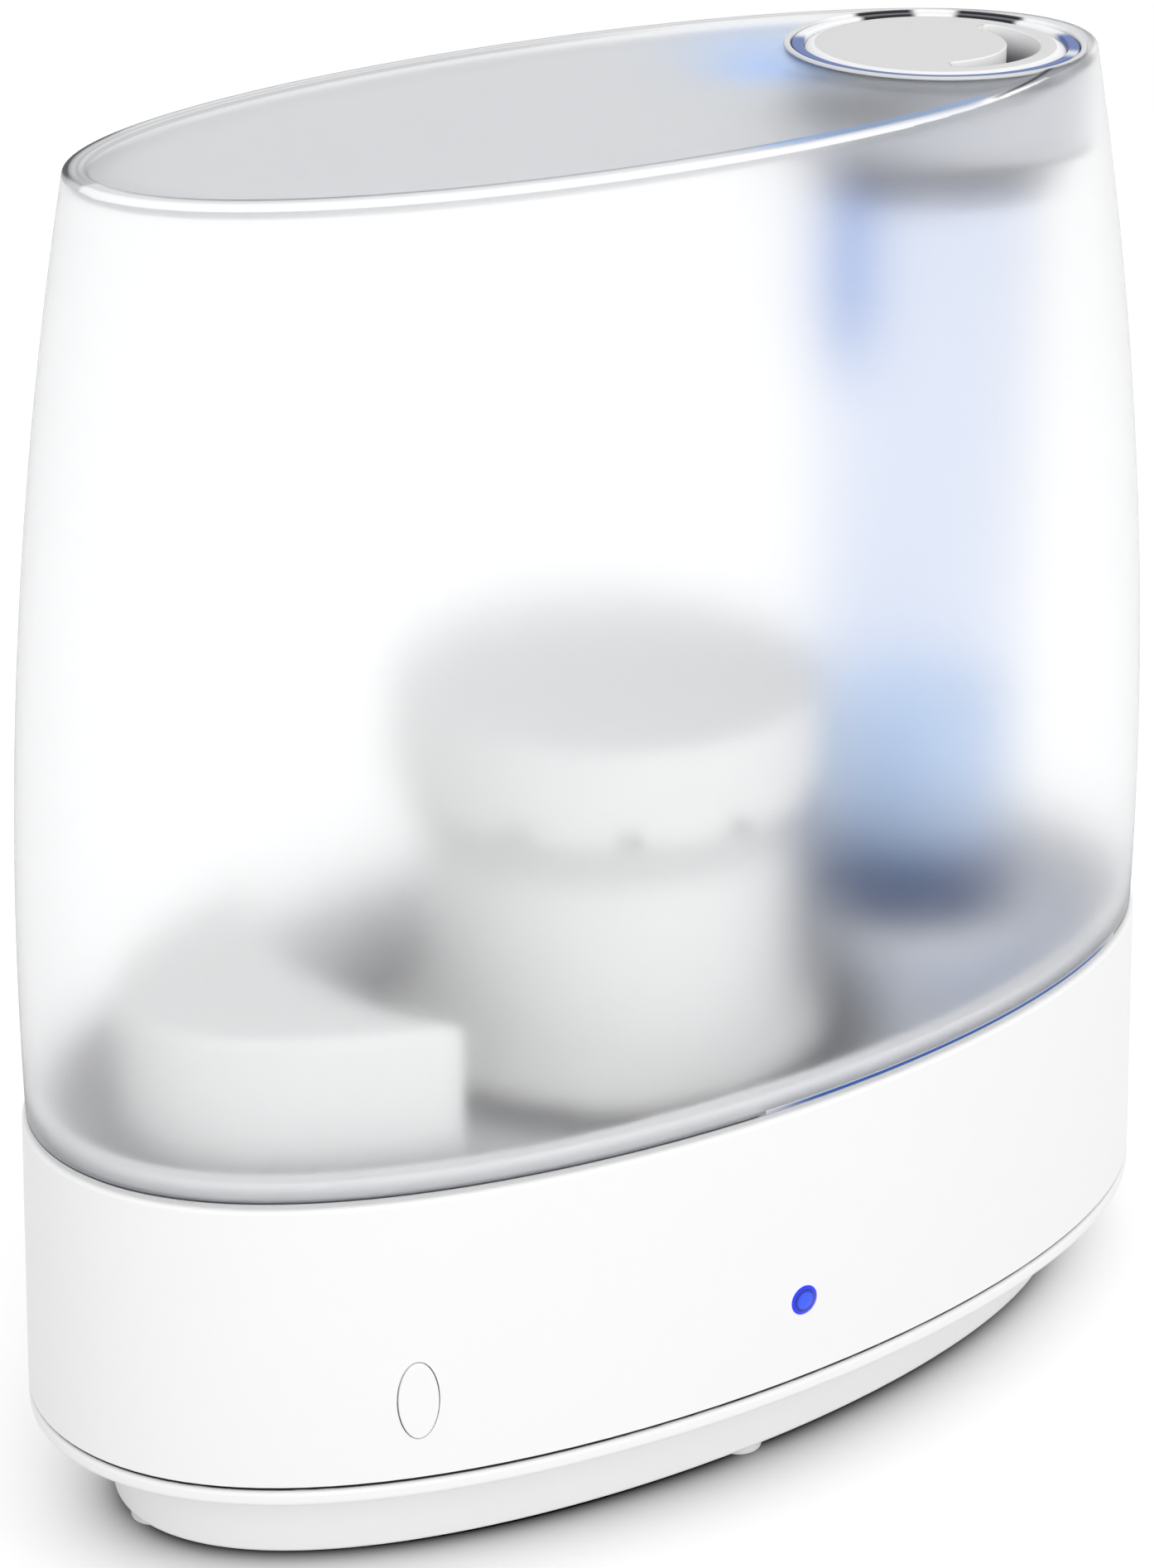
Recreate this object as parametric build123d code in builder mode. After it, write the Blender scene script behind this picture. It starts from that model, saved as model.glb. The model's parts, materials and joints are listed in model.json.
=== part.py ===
"""Cool mist humidifier: oval base with a frosted lift-off tank, in millimetres.

The origin is on the floor under the middle of the base. +Z is up, +X points along
the oval to the nozzle end, and -Y is the front with the button and the lamp.
Every oval of the body is the parallel curve of one core ellipse: its reach is the
distance that it stands outside that ellipse.
"""

import os
from math import cos, hypot, radians, sin, sqrt

from build123d import *

os.makedirs("parts", exist_ok=True)

# Overall size
body_length = 300.0
body_width = 154.0
overall_height = 309.0
rim_reach = 32.0
outline_points = 60

# Gaps between pieces
seat_gap = 0.3
bond_gap = 0.2
face_gap = 0.1
running_gap = 0.05

# Bottom cover: plinth, rim and the lip that centres the skirt
foot_height = 2.0
foot_radius = 5.5
foot_inset = 6.0
foot_peg_radius = 2.0
foot_peg_length = 4.0
plinth_reach = 14.0
plinth_edge_radius = 0.8
cover_wall = 2.5
rim_bottom = 25.5
rim_thickness = 4.0
rim_edge_radius = 1.2
rim_lip_width = 3.0
flange_thickness = 2.5
plinth_root = 2.0
lip_gap = 0.4
lip_wall = 2.0
lip_height = 6.0
slot_length = 34.0
slot_width = 3.0
slot_pitch = 7.0
slot_count = 5

# Base housing: tapering skirt
rim_groove = 1.0
base_top = 97.5
skirt_top_reach = 29.9
housing_wall = 2.5
skirt_edge_radius = 1.0
skirt_levels = 3
edge_levels = 4
ledge_width = 2.5
ledge_thickness = 2.3

# Button, lamp and lead inlet in the skirt
button_angle = 225.5
button_height = 49.5
button_width = 9.0
button_length = 18.4
button_proud = 0.4
button_edge_radius = 0.35
button_gap = 0.3
button_flange = 1.4
button_flange_thickness = 1.2
button_travel = 1.0
button_stem_radius = 2.0
button_stem_length = 4.0
lamp_angle = 270.0
lamp_height = 49.8
lamp_radius = 3.5
lamp_dome = 0.55
lamp_flange = 1.5
lamp_flange_thickness = 1.2
led_radius = 2.4
led_length = 6.0
gland_angle = 90.0
gland_height = 45.0
gland_radius = 6.0
cord_bore_radius = 3.6
gland_length = 18.0
gland_flange = 2.0
gland_flange_thickness = 2.5

# Water basin: tray, blower tower and valve well
deck_drop = 12.5
deck_thickness = 2.5
basin_lip = 0.5
basin_wall = 2.0
well_depth = 13.0
well_wall = 2.5
well_side_gap = 2.5
pin_radius = 3.0
pin_drop = 1.0
channel_width = 20.0
column_angle = 58.0
column_reach = 20.0
column_radius = 4.5
screw_hole_radius = 1.5
screw_depth = 14.0

# Cover screws
screw_gap = 0.1
screw_hole_clearance = 0.4
screw_head_radius = 3.4
screw_head_height = 2.2

# Blower
fan_inset = 22.0
fan_radius = 27.5
fan_tip_gap = 1.5
fan_wall = 2.0
fan_lid = 2.0
fan_depth = 32.0
spider_arms = 3
spider_width = 4.0
spider_height = 6.0
motor_radius = 12.0
motor_height = 18.0
motor_drop = 6.0
motor_socket_wall = 2.0
shaft_radius = 1.5
shaft_depth = 9.0
shaft_tail = 0.5
hub_radius = 10.0
hub_height = 12.0
hub_lift = 1.6
blade_count = 7
blade_thickness = 1.6
blade_chord = 11.0
blade_pitch = 38.0
blade_root = 1.0

# Mist chamber, collar and chimney on the nozzle axis
nozzle_inset = 28.0
chimney_radius = 25.3
chimney_wall = 2.0
chimney_boss_wall = 2.8
chimney_boss_height = 8.0
collar_gap = 1.0
collar_wall = 1.5
collar_rise = 61.0
collar_flange = 4.4
collar_flange_thickness = 3.0
collar_ledge_drop = 5.3
collar_ledge_width = 2.5
collar_window_count = 6
collar_window_width = 8.0
collar_window_height = 4.0
collar_window_drop = 1.0
chamber_depth = 27.0
chamber_wall = 2.5
chamber_water_gap = 4.0
ring_seal_radius = 0.7

# Mist maker under the chamber
disc_radius = 11.0
disc_thickness = 1.2
disc_window_radius = 9.5
seal_side = 2.0
seal_cover = 1.1
boss_wall = 5.7
boss_drop = 6.5
clamp_thickness = 2.5
clamp_screw_count = 3
clamp_screw_radius = 1.2
clamp_screw_length = 5.5
clamp_screw_head_radius = 2.2
clamp_screw_head_height = 1.6
glow_board_inner_gap = 0.4
glow_board_width = 8.0
glow_peg_radius = 1.5
glow_peg_count = 3
glow_led_count = 6
glow_led_size = 3.0
glow_led_height = 1.2

# Circuit boards
board_thickness = 1.6
power_board_length = 96.0
power_board_width = 60.0
power_board_height = 14.0
board_post_radius = 3.0
board_post_inset = 5.0
capacitor_radius = 6.0
capacitor_height = 22.0
coil_length = 30.0
coil_width = 46.0
coil_height = 28.0
core_length = 46.0
core_width = 20.0
core_yoke = 6.0
driver_board_length = 50.0
driver_board_width = 40.0
driver_board_height = 11.0
sink_length = 30.0
sink_width = 24.0
sink_base = 3.0
sink_fin_height = 9.0
sink_fin_thickness = 1.6
sink_fin_count = 6
front_board_width = 26.0
front_board_height = 34.0
front_board_rib = 3.0
front_board_rib_height = 6.0
switch_size = 6.0
switch_height = 3.5
plunger_radius = 1.7
plunger_height = 1.5
plunger_free_gap = 0.2

# Float
float_inset = 60.0
float_reach = 1.0
float_radius = 8.5
float_height = 13.0
float_travel = 8.0
float_side_gap = 1.5
float_pocket_wall = 2.0
guide_radius = 2.0
guide_gap = 0.4
retainer_radius = 5.0
retainer_height = 2.0
magnet_radius = 5.0
magnet_height = 3.0
reed_radius = 1.8
reed_length = 14.0

# Tank: shell, floor and top
seam_gap = 1.0
tank_foot_reach = 29.0
tank_top_reach = 10.5
tank_side_radius = 1026.0
tank_levels = 7
shell_wall = 2.5
top_thickness = 3.0
top_lip_width = 4.5
top_recess = 0.7
top_edge_radius = 1.2
floor_gap = 4.0
floor_thickness = 3.0
floor_side_gap = 0.6
floor_wall = 2.0
floor_lap = 4.0
pocket_reach = 9.0
pocket_arc = 84.0
pocket_height = 35.0
pocket_wall = 2.5
pocket_edge_radius = 2.0
tower_gap = 1.5
tower_air_gap = 8.5
tower_wall = 2.0
tower_window_width = 36.0
tower_window_height = 14.0

# Filter cartridge on the tank cap
pot_radius = 43.0
pot_wall = 2.0
pot_straight = 51.0
pot_taper = 12.0
head_radius = 49.0
head_height = 22.0
head_top = 2.5
head_edge_radius = 2.0
head_neck_gap = 1.5
head_neck_height = 9.0
head_slot_count = 12
head_slot_width = 5.0
head_slot_height = 3.0
granule_room = 3.0

# Tank cap and its valve
cap_chimney_gap = 4.3
neck_clearance = 1.5
plug_gap = 0.5
cap_plate = 3.3
cap_ring_width = 10.0
cap_seal_thickness = 1.5
cap_seal_width = 2.8
cap_seal_margin = 0.5
ear_reach = 3.5
ear_root = 5.5
ear_thickness = 2.5
ear_angle = 24.0
ear_side_gap = 2.0
cap_turn = 60.0
grip_height = 8.0
grip_width = 8.0
grip_inner = 12.0
grip_outer = 45.0
valve_chamber_radius = 14.0
valve_chamber_wall = 2.0
valve_chamber_height = 22.0
valve_port_radius = 5.5
valve_window_radius = 2.0
valve_window_count = 4
valve_lift = 5.0
valve_disc_radius = 10.0
valve_disc_thickness = 2.5
valve_seal_width = 3.0
valve_seal_thickness = 1.5
stem_radius = 2.5
stem_guide_gap = 0.2
stem_tail = 4.0
spring_radius = 6.0
spring_wire_radius = 0.6
spring_turns = 4.0

# Outlet well and nozzle
well_cup_radius = 32.7
well_cup_wall = 1.5
well_cup_depth = 21.0
well_cup_floor = 2.0
well_cup_edge_radius = 0.5
nozzle_radius = 29.5
nozzle_top_drop = 0.2
nozzle_plate = 3.0
nozzle_bevel_width = 2.4
nozzle_bevel_height = 1.1
nozzle_skirt_wall = 2.5
nozzle_skirt_gap = 0.4
nozzle_skirt_lift = 1.7
cup_wall = 2.0
cup_base = 2.0
cup_side_gap = 0.5
spigot_gap = 0.6
spigot_wall = 1.7
spigot_length = 10.0
crescent_angle = -49.5
crescent_half_span = 71.5
crescent_outer_radius = 23.7
crescent_disc_radius = 20.0
crescent_offset = 4.0
crescent_tip_radius = 1.0

# Levels that follow from the sizes above
core_a = body_length / 2 - rim_reach
core_b = body_width / 2 - rim_reach
nozzle_x = core_a - nozzle_inset
fan_x = fan_inset - core_a
float_x = core_a - float_inset
float_y = core_b + float_reach
plate_top = foot_height + cover_wall
rim_top = rim_bottom + rim_thickness
skirt_bottom = rim_top + rim_groove
skirt_lean = (rim_reach - skirt_top_reach) / (base_top - skirt_bottom)
deck_top = base_top - deck_drop
deck_bottom = deck_top - deck_thickness
basin_top = base_top + basin_lip
basin_reach = skirt_top_reach - housing_wall - bond_gap
tank_bottom = base_top + seam_gap
floor_bottom = deck_top + floor_gap
floor_top = floor_bottom + floor_thickness
chamber_floor = deck_top - chamber_depth
chamber_underside = chamber_floor - chamber_wall
collar_radius = chimney_radius - chimney_wall - collar_gap
collar_top = floor_top + collar_rise
collar_ledge = deck_top - collar_ledge_drop
mouth_radius = collar_radius + collar_flange + seat_gap
boss_radius = disc_radius + seal_side + boss_wall
boss_bottom = chamber_underside - boss_drop
neck_radius = head_radius + neck_clearance
plug_radius = neck_radius - plug_gap
ear_radius = plug_radius + ear_reach
notch_radius = ear_radius + seat_gap
cap_seal_inner = notch_radius + seat_gap
cap_radius = cap_seal_inner + cap_seal_width + cap_seal_margin
boss_outer = chimney_radius + bond_gap + chimney_boss_wall
pot_x = nozzle_x - boss_outer - cap_chimney_gap - cap_radius
cap_top = floor_bottom - cap_seal_thickness - bond_gap
cap_bottom = cap_top - cap_plate
valve_well_radius = cap_radius + well_side_gap
valve_well_floor = deck_top - well_depth
pin_top = cap_bottom - pin_drop
pot_bottom = floor_top + face_gap
pot_shoulder = floor_top + pot_straight + pot_taper
chamber_roof = pot_bottom + valve_chamber_height
valve_seat = cap_top + face_gap
well_cup_top = overall_height
well_cup_floor_top = well_cup_top - well_cup_depth
well_cup_bottom = well_cup_floor_top - well_cup_floor
well_cup_outer = well_cup_radius + well_cup_wall
chimney_bore = chimney_radius - chimney_wall
fan_top = valve_well_floor - well_wall - seat_gap
fan_bottom = fan_top - fan_depth
motor_bottom = fan_bottom - motor_drop
motor_top = motor_bottom + motor_height
hub_bottom = motor_top + hub_lift


def outline_normal(angle):
    """Outward unit normal of the core ellipse at a parameter angle in degrees."""
    nx = core_b * cos(radians(angle))
    ny = core_a * sin(radians(angle))
    length = hypot(nx, ny)
    return nx / length, ny / length


def outline_point(angle, reach):
    """Point of the oval with the given reach, at a parameter angle in degrees."""
    nx, ny = outline_normal(angle)
    x = core_a * cos(radians(angle)) + reach * nx
    y = core_b * sin(radians(angle)) + reach * ny
    return x, y


def oval(reach, height):
    """Filled oval of the given reach, drawn at a height."""
    points = [outline_point(360 * i / outline_points, reach) for i in range(outline_points)]
    with BuildSketch(Plane.XY.offset(height)) as section:
        with BuildLine():
            Spline(*points, periodic=True)
        make_face()
    return section.sketch


def oval_ring(outer_reach, inner_reach, height):
    """Ring between two ovals, drawn at a height."""
    with BuildSketch(Plane.XY.offset(height)) as section:
        add(oval(outer_reach, 0))
        add(oval(inner_reach, 0), mode=Mode.SUBTRACT)
    return section.sketch


def pocket_plan(reach, arc, height):
    """End piece of an oval at -X, hollowed on its inner side by an arc about the middle."""
    with BuildSketch(Plane.XY.offset(height)) as section:
        add(oval(reach, 0))
        with Locations((-body_length / 2, 0)):
            Rectangle(body_length, body_width, mode=Mode.INTERSECT)
        Circle(arc, mode=Mode.SUBTRACT)
    return section.sketch


def ring(center, outer_radius, inner_radius, height):
    """Round ring about a vertical axis through a plan point, drawn at a height."""
    with BuildSketch(Plane.XY.offset(height)) as section:
        with Locations(center):
            Circle(outer_radius)
            Circle(inner_radius, mode=Mode.SUBTRACT)
    return section.sketch


def disc(center, radius, height):
    """Round disc about a plan point, drawn at a height."""
    with BuildSketch(Plane.XY.offset(height)) as section:
        with Locations(center):
            Circle(radius)
    return section.sketch


def block(center, length, width, height):
    """Rectangle about a plan point, drawn at a height."""
    with BuildSketch(Plane.XY.offset(height)) as section:
        with Locations(center):
            Rectangle(length, width)
    return section.sketch


def radial_plane(center, angle):
    """Upright plane through a vertical axis: its x runs outwards and its y runs up."""
    turn = radians(angle)
    return Plane(
        origin=(center[0], center[1], 0),
        x_dir=(cos(turn), sin(turn), 0),
        z_dir=(sin(turn), -cos(turn), 0),
    )


def skirt_reach(height):
    """Reach of the skirt's outer face at a height."""
    return rim_reach - skirt_lean * (height - skirt_bottom)


def skirt_sections(inset, bottom, top):
    """Ovals up the skirt, inset by a wall thickness, between two heights."""
    step = (top - bottom) / (skirt_levels - 1)
    heights = [bottom + step * i for i in range(skirt_levels)]
    return [oval(skirt_reach(height) - inset, height) for height in heights]


def edge_sections(reach, top, radius):
    """Ovals that round an upper edge over a quarter circle, from its foot to the top."""
    turns = [radians(90 * i / (edge_levels - 1)) for i in range(edge_levels)]
    return [oval(reach - radius * (1 - cos(turn)), top - radius * (1 - sin(turn))) for turn in turns]


def wall_plane(angle, height, lean=0.0):
    """Plane on the skirt's outer face: z runs outwards, y runs up."""
    nx, ny = outline_normal(angle)
    x, y = outline_point(angle, skirt_reach(height))
    return Plane(origin=(x, y, height), x_dir=(-ny, nx, 0), z_dir=(nx, ny, lean))


def tank_reach(height):
    """Reach of the tank's outer face, a large arc through its foot and its top."""
    rise = overall_height - tank_bottom
    run = tank_top_reach - tank_foot_reach
    chord = hypot(rise, run)
    sag_root = sqrt(tank_side_radius**2 - (chord / 2) ** 2)
    center_reach = (tank_foot_reach + tank_top_reach) / 2 - sag_root * rise / chord
    center_height = (tank_bottom + overall_height) / 2 + sag_root * run / chord
    return center_reach + sqrt(tank_side_radius**2 - (height - center_height) ** 2)


def tank_sections(inset, top):
    """Ovals up the tank wall, inset by a wall thickness, from the foot to a top height."""
    step = (top - tank_bottom) / (tank_levels - 1)
    heights = [tank_bottom + step * i for i in range(tank_levels)]
    return [oval(tank_reach(height) - inset, height) for height in heights]


center_axis = (0, 0)
pot_axis = (pot_x, 0)
pot_line = Axis((pot_x, 0, 0), (0, 0, 1))
mist_axis = (nozzle_x, 0)
fan_axis = (fan_x, 0)
float_axis = (float_x, float_y)
column_angles = (column_angle, 180 - column_angle, 180 + column_angle, 360 - column_angle)
column_points = [outline_point(angle, column_reach) for angle in column_angles]
button_plane = wall_plane(button_angle, button_height, skirt_lean)
button_board_plane = wall_plane(button_angle, button_height)
lamp_plane = wall_plane(lamp_angle, lamp_height)
gland_plane = wall_plane(gland_angle, gland_height)

# Depths of the two upright boards behind the skirt's outer face, and room for its lean
button_back = housing_wall + seat_gap + button_flange_thickness + button_stem_length
switch_face = button_back + button_travel + plunger_free_gap
button_board_depth = switch_face + plunger_height + switch_height
lamp_inner = housing_wall + bond_gap + skirt_lean * (lamp_radius + lamp_flange)
lamp_back = lamp_inner + lamp_flange_thickness
lamp_board_depth = lamp_back + seat_gap + led_length
gland_inner = housing_wall + bond_gap + skirt_lean * (gland_radius + gland_flange)

# Board posts of the bottom cover
power_post_points = [
    (x * (power_board_length / 2 - board_post_inset), y * (power_board_width / 2 - board_post_inset))
    for x in (-1, 1)
    for y in (-1, 1)
]
driver_post_points = [
    (
        nozzle_x + x * (driver_board_length / 2 - board_post_inset),
        y * (driver_board_width / 2 - board_post_inset),
    )
    for x in (-1, 1)
    for y in (-1, 1)
]
foot_points = [outline_point(angle, plinth_reach - foot_inset) for angle in (0, 90, 180, 270)]

# Base housing
with BuildPart() as base_housing:
    edge_foot = base_top - skirt_edge_radius
    loft(sections=skirt_sections(0, skirt_bottom, edge_foot))
    loft(sections=edge_sections(skirt_reach(edge_foot), base_top, skirt_edge_radius))
    # Hollow in three steps, which leave an inner ledge that carries the basin
    ledge_top = deck_bottom - face_gap
    ledge_bottom = ledge_top - ledge_thickness
    loft(sections=skirt_sections(housing_wall, skirt_bottom, ledge_bottom), mode=Mode.SUBTRACT)
    loft(sections=skirt_sections(housing_wall, ledge_top, base_top), mode=Mode.SUBTRACT)
    extrude(
        oval(basin_reach - ledge_width, ledge_bottom),
        amount=ledge_thickness,
        mode=Mode.SUBTRACT,
    )
    with BuildSketch(button_plane):
        Ellipse(button_width / 2 + button_gap, button_length / 2 + button_gap)
    extrude(amount=2 * housing_wall, both=True, mode=Mode.SUBTRACT)
    with BuildSketch(lamp_plane):
        Circle(lamp_radius + face_gap)
    extrude(amount=2 * housing_wall, both=True, mode=Mode.SUBTRACT)
    with BuildSketch(gland_plane):
        Circle(gland_radius + face_gap)
    extrude(amount=2 * housing_wall, both=True, mode=Mode.SUBTRACT)

# Bottom cover
with BuildPart() as bottom_cover:
    extrude(oval(rim_reach, rim_bottom), amount=rim_thickness)
    fillet(bottom_cover.edges(), rim_edge_radius)
    extrude(
        oval_ring(rim_reach - rim_lip_width, plinth_reach + plinth_root, rim_bottom),
        amount=rim_thickness - flange_thickness,
        mode=Mode.SUBTRACT,
    )
    extrude(oval(plinth_reach, foot_height), amount=rim_top - foot_height)
    fillet(bottom_cover.faces().sort_by(Axis.Z)[0].edges(), plinth_edge_radius)
    extrude(
        oval(plinth_reach - cover_wall, plate_top),
        amount=rim_top - plate_top,
        mode=Mode.SUBTRACT,
    )
    # Lip that centres the skirt
    lip_reach = rim_reach - housing_wall - lip_gap
    extrude(oval_ring(lip_reach, lip_reach - lip_wall, rim_top), amount=lip_height)
    # Board posts
    for point in power_post_points:
        extrude(disc(point, board_post_radius, plate_top), amount=power_board_height - plate_top)
    for point in driver_post_points:
        extrude(disc(point, board_post_radius, plate_top), amount=driver_board_height - plate_top)
    # Ribs that hold the two upright boards at their foot
    for plane, depth, height in (
        (button_board_plane, button_board_depth, button_height),
        (lamp_plane, lamp_board_depth, lamp_height),
    ):
        for offset in (
            -depth + front_board_rib / 2 + face_gap,
            -depth - board_thickness - front_board_rib / 2 - face_gap,
        ):
            with BuildSketch(plane.offset(offset)):
                with Locations((0, rim_top - height + front_board_rib_height / 2)):
                    Rectangle(front_board_width / 2, front_board_rib_height)
            extrude(amount=front_board_rib / 2, both=True)
    # Holes for the screws and foot pegs
    for point in column_points:
        extrude(
            disc(point, screw_hole_radius + screw_hole_clearance, rim_bottom),
            amount=rim_thickness,
            mode=Mode.SUBTRACT,
        )
    for point in foot_points:
        extrude(
            disc(point, foot_peg_radius + face_gap, foot_height),
            amount=cover_wall,
            mode=Mode.SUBTRACT,
        )
    # Air slots under the blower
    with BuildSketch(Plane.XY.offset(foot_height)):
        with Locations(fan_axis):
            with GridLocations(0, slot_pitch, 1, slot_count):
                SlotOverall(slot_length, slot_width)
    extrude(amount=cover_wall, mode=Mode.SUBTRACT)

# Feet and cover screws
with BuildPart() as rubber_feet:
    for point in foot_points:
        extrude(disc(point, foot_radius, 0), amount=foot_height)
    fillet(rubber_feet.faces().group_by(Axis.Z)[0].edges(), foot_height / 4)
    for point in foot_points:
        extrude(disc(point, foot_peg_radius, foot_height), amount=foot_peg_length)

with BuildPart() as cover_screws:
    screw_seat = rim_top - flange_thickness
    for point in column_points:
        extrude(
            disc(point, screw_head_radius, screw_seat - screw_head_height),
            amount=screw_head_height,
        )
        extrude(
            disc(point, screw_hole_radius - screw_gap, screw_seat),
            amount=flange_thickness + screw_depth - seat_gap,
        )

# Water basin
tower_reach = pocket_reach - pocket_wall - tower_gap
tower_arc = pocket_arc + pocket_wall + tower_air_gap
tower_top = floor_top + pocket_height - pocket_wall - tower_gap
float_pocket_radius = float_radius + float_side_gap
float_bottom = deck_top + seat_gap - float_travel - float_height
float_pocket_floor = float_bottom - seat_gap
guide_top = float_bottom + float_height + float_travel + seat_gap + retainer_height
disc_bottom = chamber_underside - seal_cover - face_gap - disc_thickness
seal_bottom = disc_bottom - seal_cover - face_gap
glow_radius = boss_radius + glow_board_inner_gap + glow_board_width / 2
glow_board_top = chamber_underside - seat_gap - glow_led_height
glow_board_bottom = glow_board_top - board_thickness
clamp_screw_ring = disc_radius + seal_side + boss_wall / 2

with BuildPart() as water_basin:
    extrude(oval(basin_reach, deck_bottom), amount=basin_top - deck_bottom)
    extrude(
        oval(basin_reach - basin_wall, deck_top),
        amount=basin_top - deck_top,
        mode=Mode.SUBTRACT,
    )
    # Outsides of the valve well, the mist chamber, the float pocket and the screw columns
    extrude(
        disc(pot_axis, valve_well_radius + well_wall, valve_well_floor - well_wall),
        amount=well_depth + well_wall,
    )
    extrude(
        disc(mist_axis, mouth_radius + chamber_wall, chamber_underside),
        amount=chamber_depth + chamber_wall,
    )
    float_underside = float_pocket_floor - float_pocket_wall
    extrude(
        disc(float_axis, float_pocket_radius + float_pocket_wall, float_underside),
        amount=deck_top - float_underside,
    )
    for point in column_points:
        extrude(disc(point, column_radius, rim_top), amount=deck_bottom - rim_top)
    extrude(disc(mist_axis, boss_radius, boss_bottom), amount=boss_drop)
    for i in range(glow_peg_count):
        with BuildSketch(Plane.XY.offset(glow_board_bottom)):
            with Locations(mist_axis):
                with PolarLocations(glow_radius, 1, start_angle=360 * i / glow_peg_count):
                    Circle(glow_peg_radius)
        extrude(amount=chamber_underside - glow_board_bottom)
    # Blower tower, with a duct below the deck that stands on the blower's lid
    duct_bottom = fan_top + face_gap
    extrude(pocket_plan(tower_reach, tower_arc, duct_bottom), amount=tower_top - duct_bottom)
    extrude(
        pocket_plan(tower_reach - tower_wall, tower_arc + tower_wall, duct_bottom),
        amount=tower_top - tower_wall - duct_bottom,
        mode=Mode.SUBTRACT,
    )
    with BuildSketch(Plane.YZ.offset(-tower_arc - tower_wall)):
        with Locations((0, tower_top - tower_wall - tower_window_height / 2)):
            Rectangle(tower_window_width, tower_window_height)
    extrude(amount=tower_wall * 4, mode=Mode.SUBTRACT)
    # Hollows
    extrude(
        disc(pot_axis, valve_well_radius, valve_well_floor),
        amount=well_depth,
        mode=Mode.SUBTRACT,
    )
    extrude(
        disc(mist_axis, mouth_radius - collar_ledge_width, chamber_floor),
        amount=chamber_depth,
        mode=Mode.SUBTRACT,
    )
    extrude(
        disc(mist_axis, mouth_radius, collar_ledge),
        amount=deck_top - collar_ledge,
        mode=Mode.SUBTRACT,
    )
    extrude(
        disc(float_axis, float_pocket_radius, float_pocket_floor),
        amount=deck_top - float_pocket_floor,
        mode=Mode.SUBTRACT,
    )
    # Channel from the valve well to the mist chamber
    extrude(
        block(((pot_x + nozzle_x) / 2, 0), nozzle_x - pot_x, channel_width, valve_well_floor),
        amount=collar_ledge - valve_well_floor,
        mode=Mode.SUBTRACT,
    )
    # Window and seat of the mist maker
    extrude(
        disc(mist_axis, disc_window_radius, chamber_underside),
        amount=chamber_wall,
        mode=Mode.SUBTRACT,
    )
    extrude(
        disc(mist_axis, disc_radius + seal_side + face_gap, boss_bottom),
        amount=boss_drop,
        mode=Mode.SUBTRACT,
    )
    with BuildSketch(Plane.XY.offset(boss_bottom)):
        with Locations(mist_axis):
            with PolarLocations(clamp_screw_ring, clamp_screw_count):
                Circle(clamp_screw_radius + face_gap)
    extrude(amount=clamp_screw_length, mode=Mode.SUBTRACT)
    for point in column_points:
        extrude(disc(point, screw_hole_radius, rim_top), amount=screw_depth, mode=Mode.SUBTRACT)
    # Valve pin and float guide
    extrude(disc(pot_axis, pin_radius, valve_well_floor), amount=pin_top - valve_well_floor)
    extrude(disc(float_axis, guide_radius, float_pocket_floor), amount=guide_top - float_pocket_floor)

# Blower
with BuildPart() as fan_housing:
    extrude(
        ring(fan_axis, fan_radius + fan_tip_gap + fan_wall, fan_radius + fan_tip_gap, fan_bottom),
        amount=fan_depth,
    )
    extrude(disc(fan_axis, fan_radius + fan_tip_gap + fan_wall, fan_top - fan_lid), amount=fan_lid)
    extrude(
        pocket_plan(tower_reach - tower_wall, tower_arc + tower_wall, fan_top - fan_lid),
        amount=fan_lid,
        mode=Mode.SUBTRACT,
    )
    socket_radius = motor_radius + bond_gap
    arm_length = fan_radius + fan_tip_gap + fan_wall / 2 - socket_radius - motor_socket_wall / 2
    arm_middle = socket_radius + motor_socket_wall / 2 + arm_length / 2
    extrude(
        ring(fan_axis, socket_radius + motor_socket_wall, socket_radius, fan_bottom),
        amount=spider_height,
    )
    with BuildSketch(Plane.XY.offset(fan_bottom)):
        with Locations(fan_axis):
            with PolarLocations(arm_middle, spider_arms):
                Rectangle(arm_length, spider_width)
    extrude(amount=spider_height)

with BuildPart() as fan_motor:
    extrude(disc(fan_axis, motor_radius, motor_bottom), amount=motor_height)
    extrude(
        disc(fan_axis, shaft_radius + running_gap, motor_top - shaft_depth - shaft_tail),
        amount=shaft_depth + shaft_tail,
        mode=Mode.SUBTRACT,
    )

with BuildPart() as fan_shaft:
    extrude(
        disc(fan_axis, shaft_radius, motor_top - shaft_depth),
        amount=shaft_depth + hub_lift + hub_height,
    )

with BuildPart() as fan_impeller:
    extrude(disc(fan_axis, hub_radius, hub_bottom), amount=hub_height)
    blade_length = fan_radius - hub_radius + blade_root
    with Locations((fan_x, 0, hub_bottom + hub_height / 2)):
        with PolarLocations(hub_radius - blade_root + blade_length / 2, blade_count):
            Box(blade_length, blade_chord, blade_thickness, rotation=(blade_pitch, 0, 0))
    extrude(
        disc(fan_axis, shaft_radius + running_gap, hub_bottom),
        amount=hub_height,
        mode=Mode.SUBTRACT,
    )

# Mist maker
with BuildPart() as transducer_disc:
    extrude(disc(mist_axis, disc_radius, disc_bottom), amount=disc_thickness)

with BuildPart() as transducer_seal:
    seal_top = chamber_underside - face_gap
    extrude(
        ring(mist_axis, disc_radius + seal_side, disc_window_radius, seal_bottom),
        amount=seal_top - seal_bottom,
    )
    extrude(
        disc(mist_axis, disc_radius + face_gap, disc_bottom - face_gap),
        amount=disc_thickness + 2 * face_gap,
        mode=Mode.SUBTRACT,
    )

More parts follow.
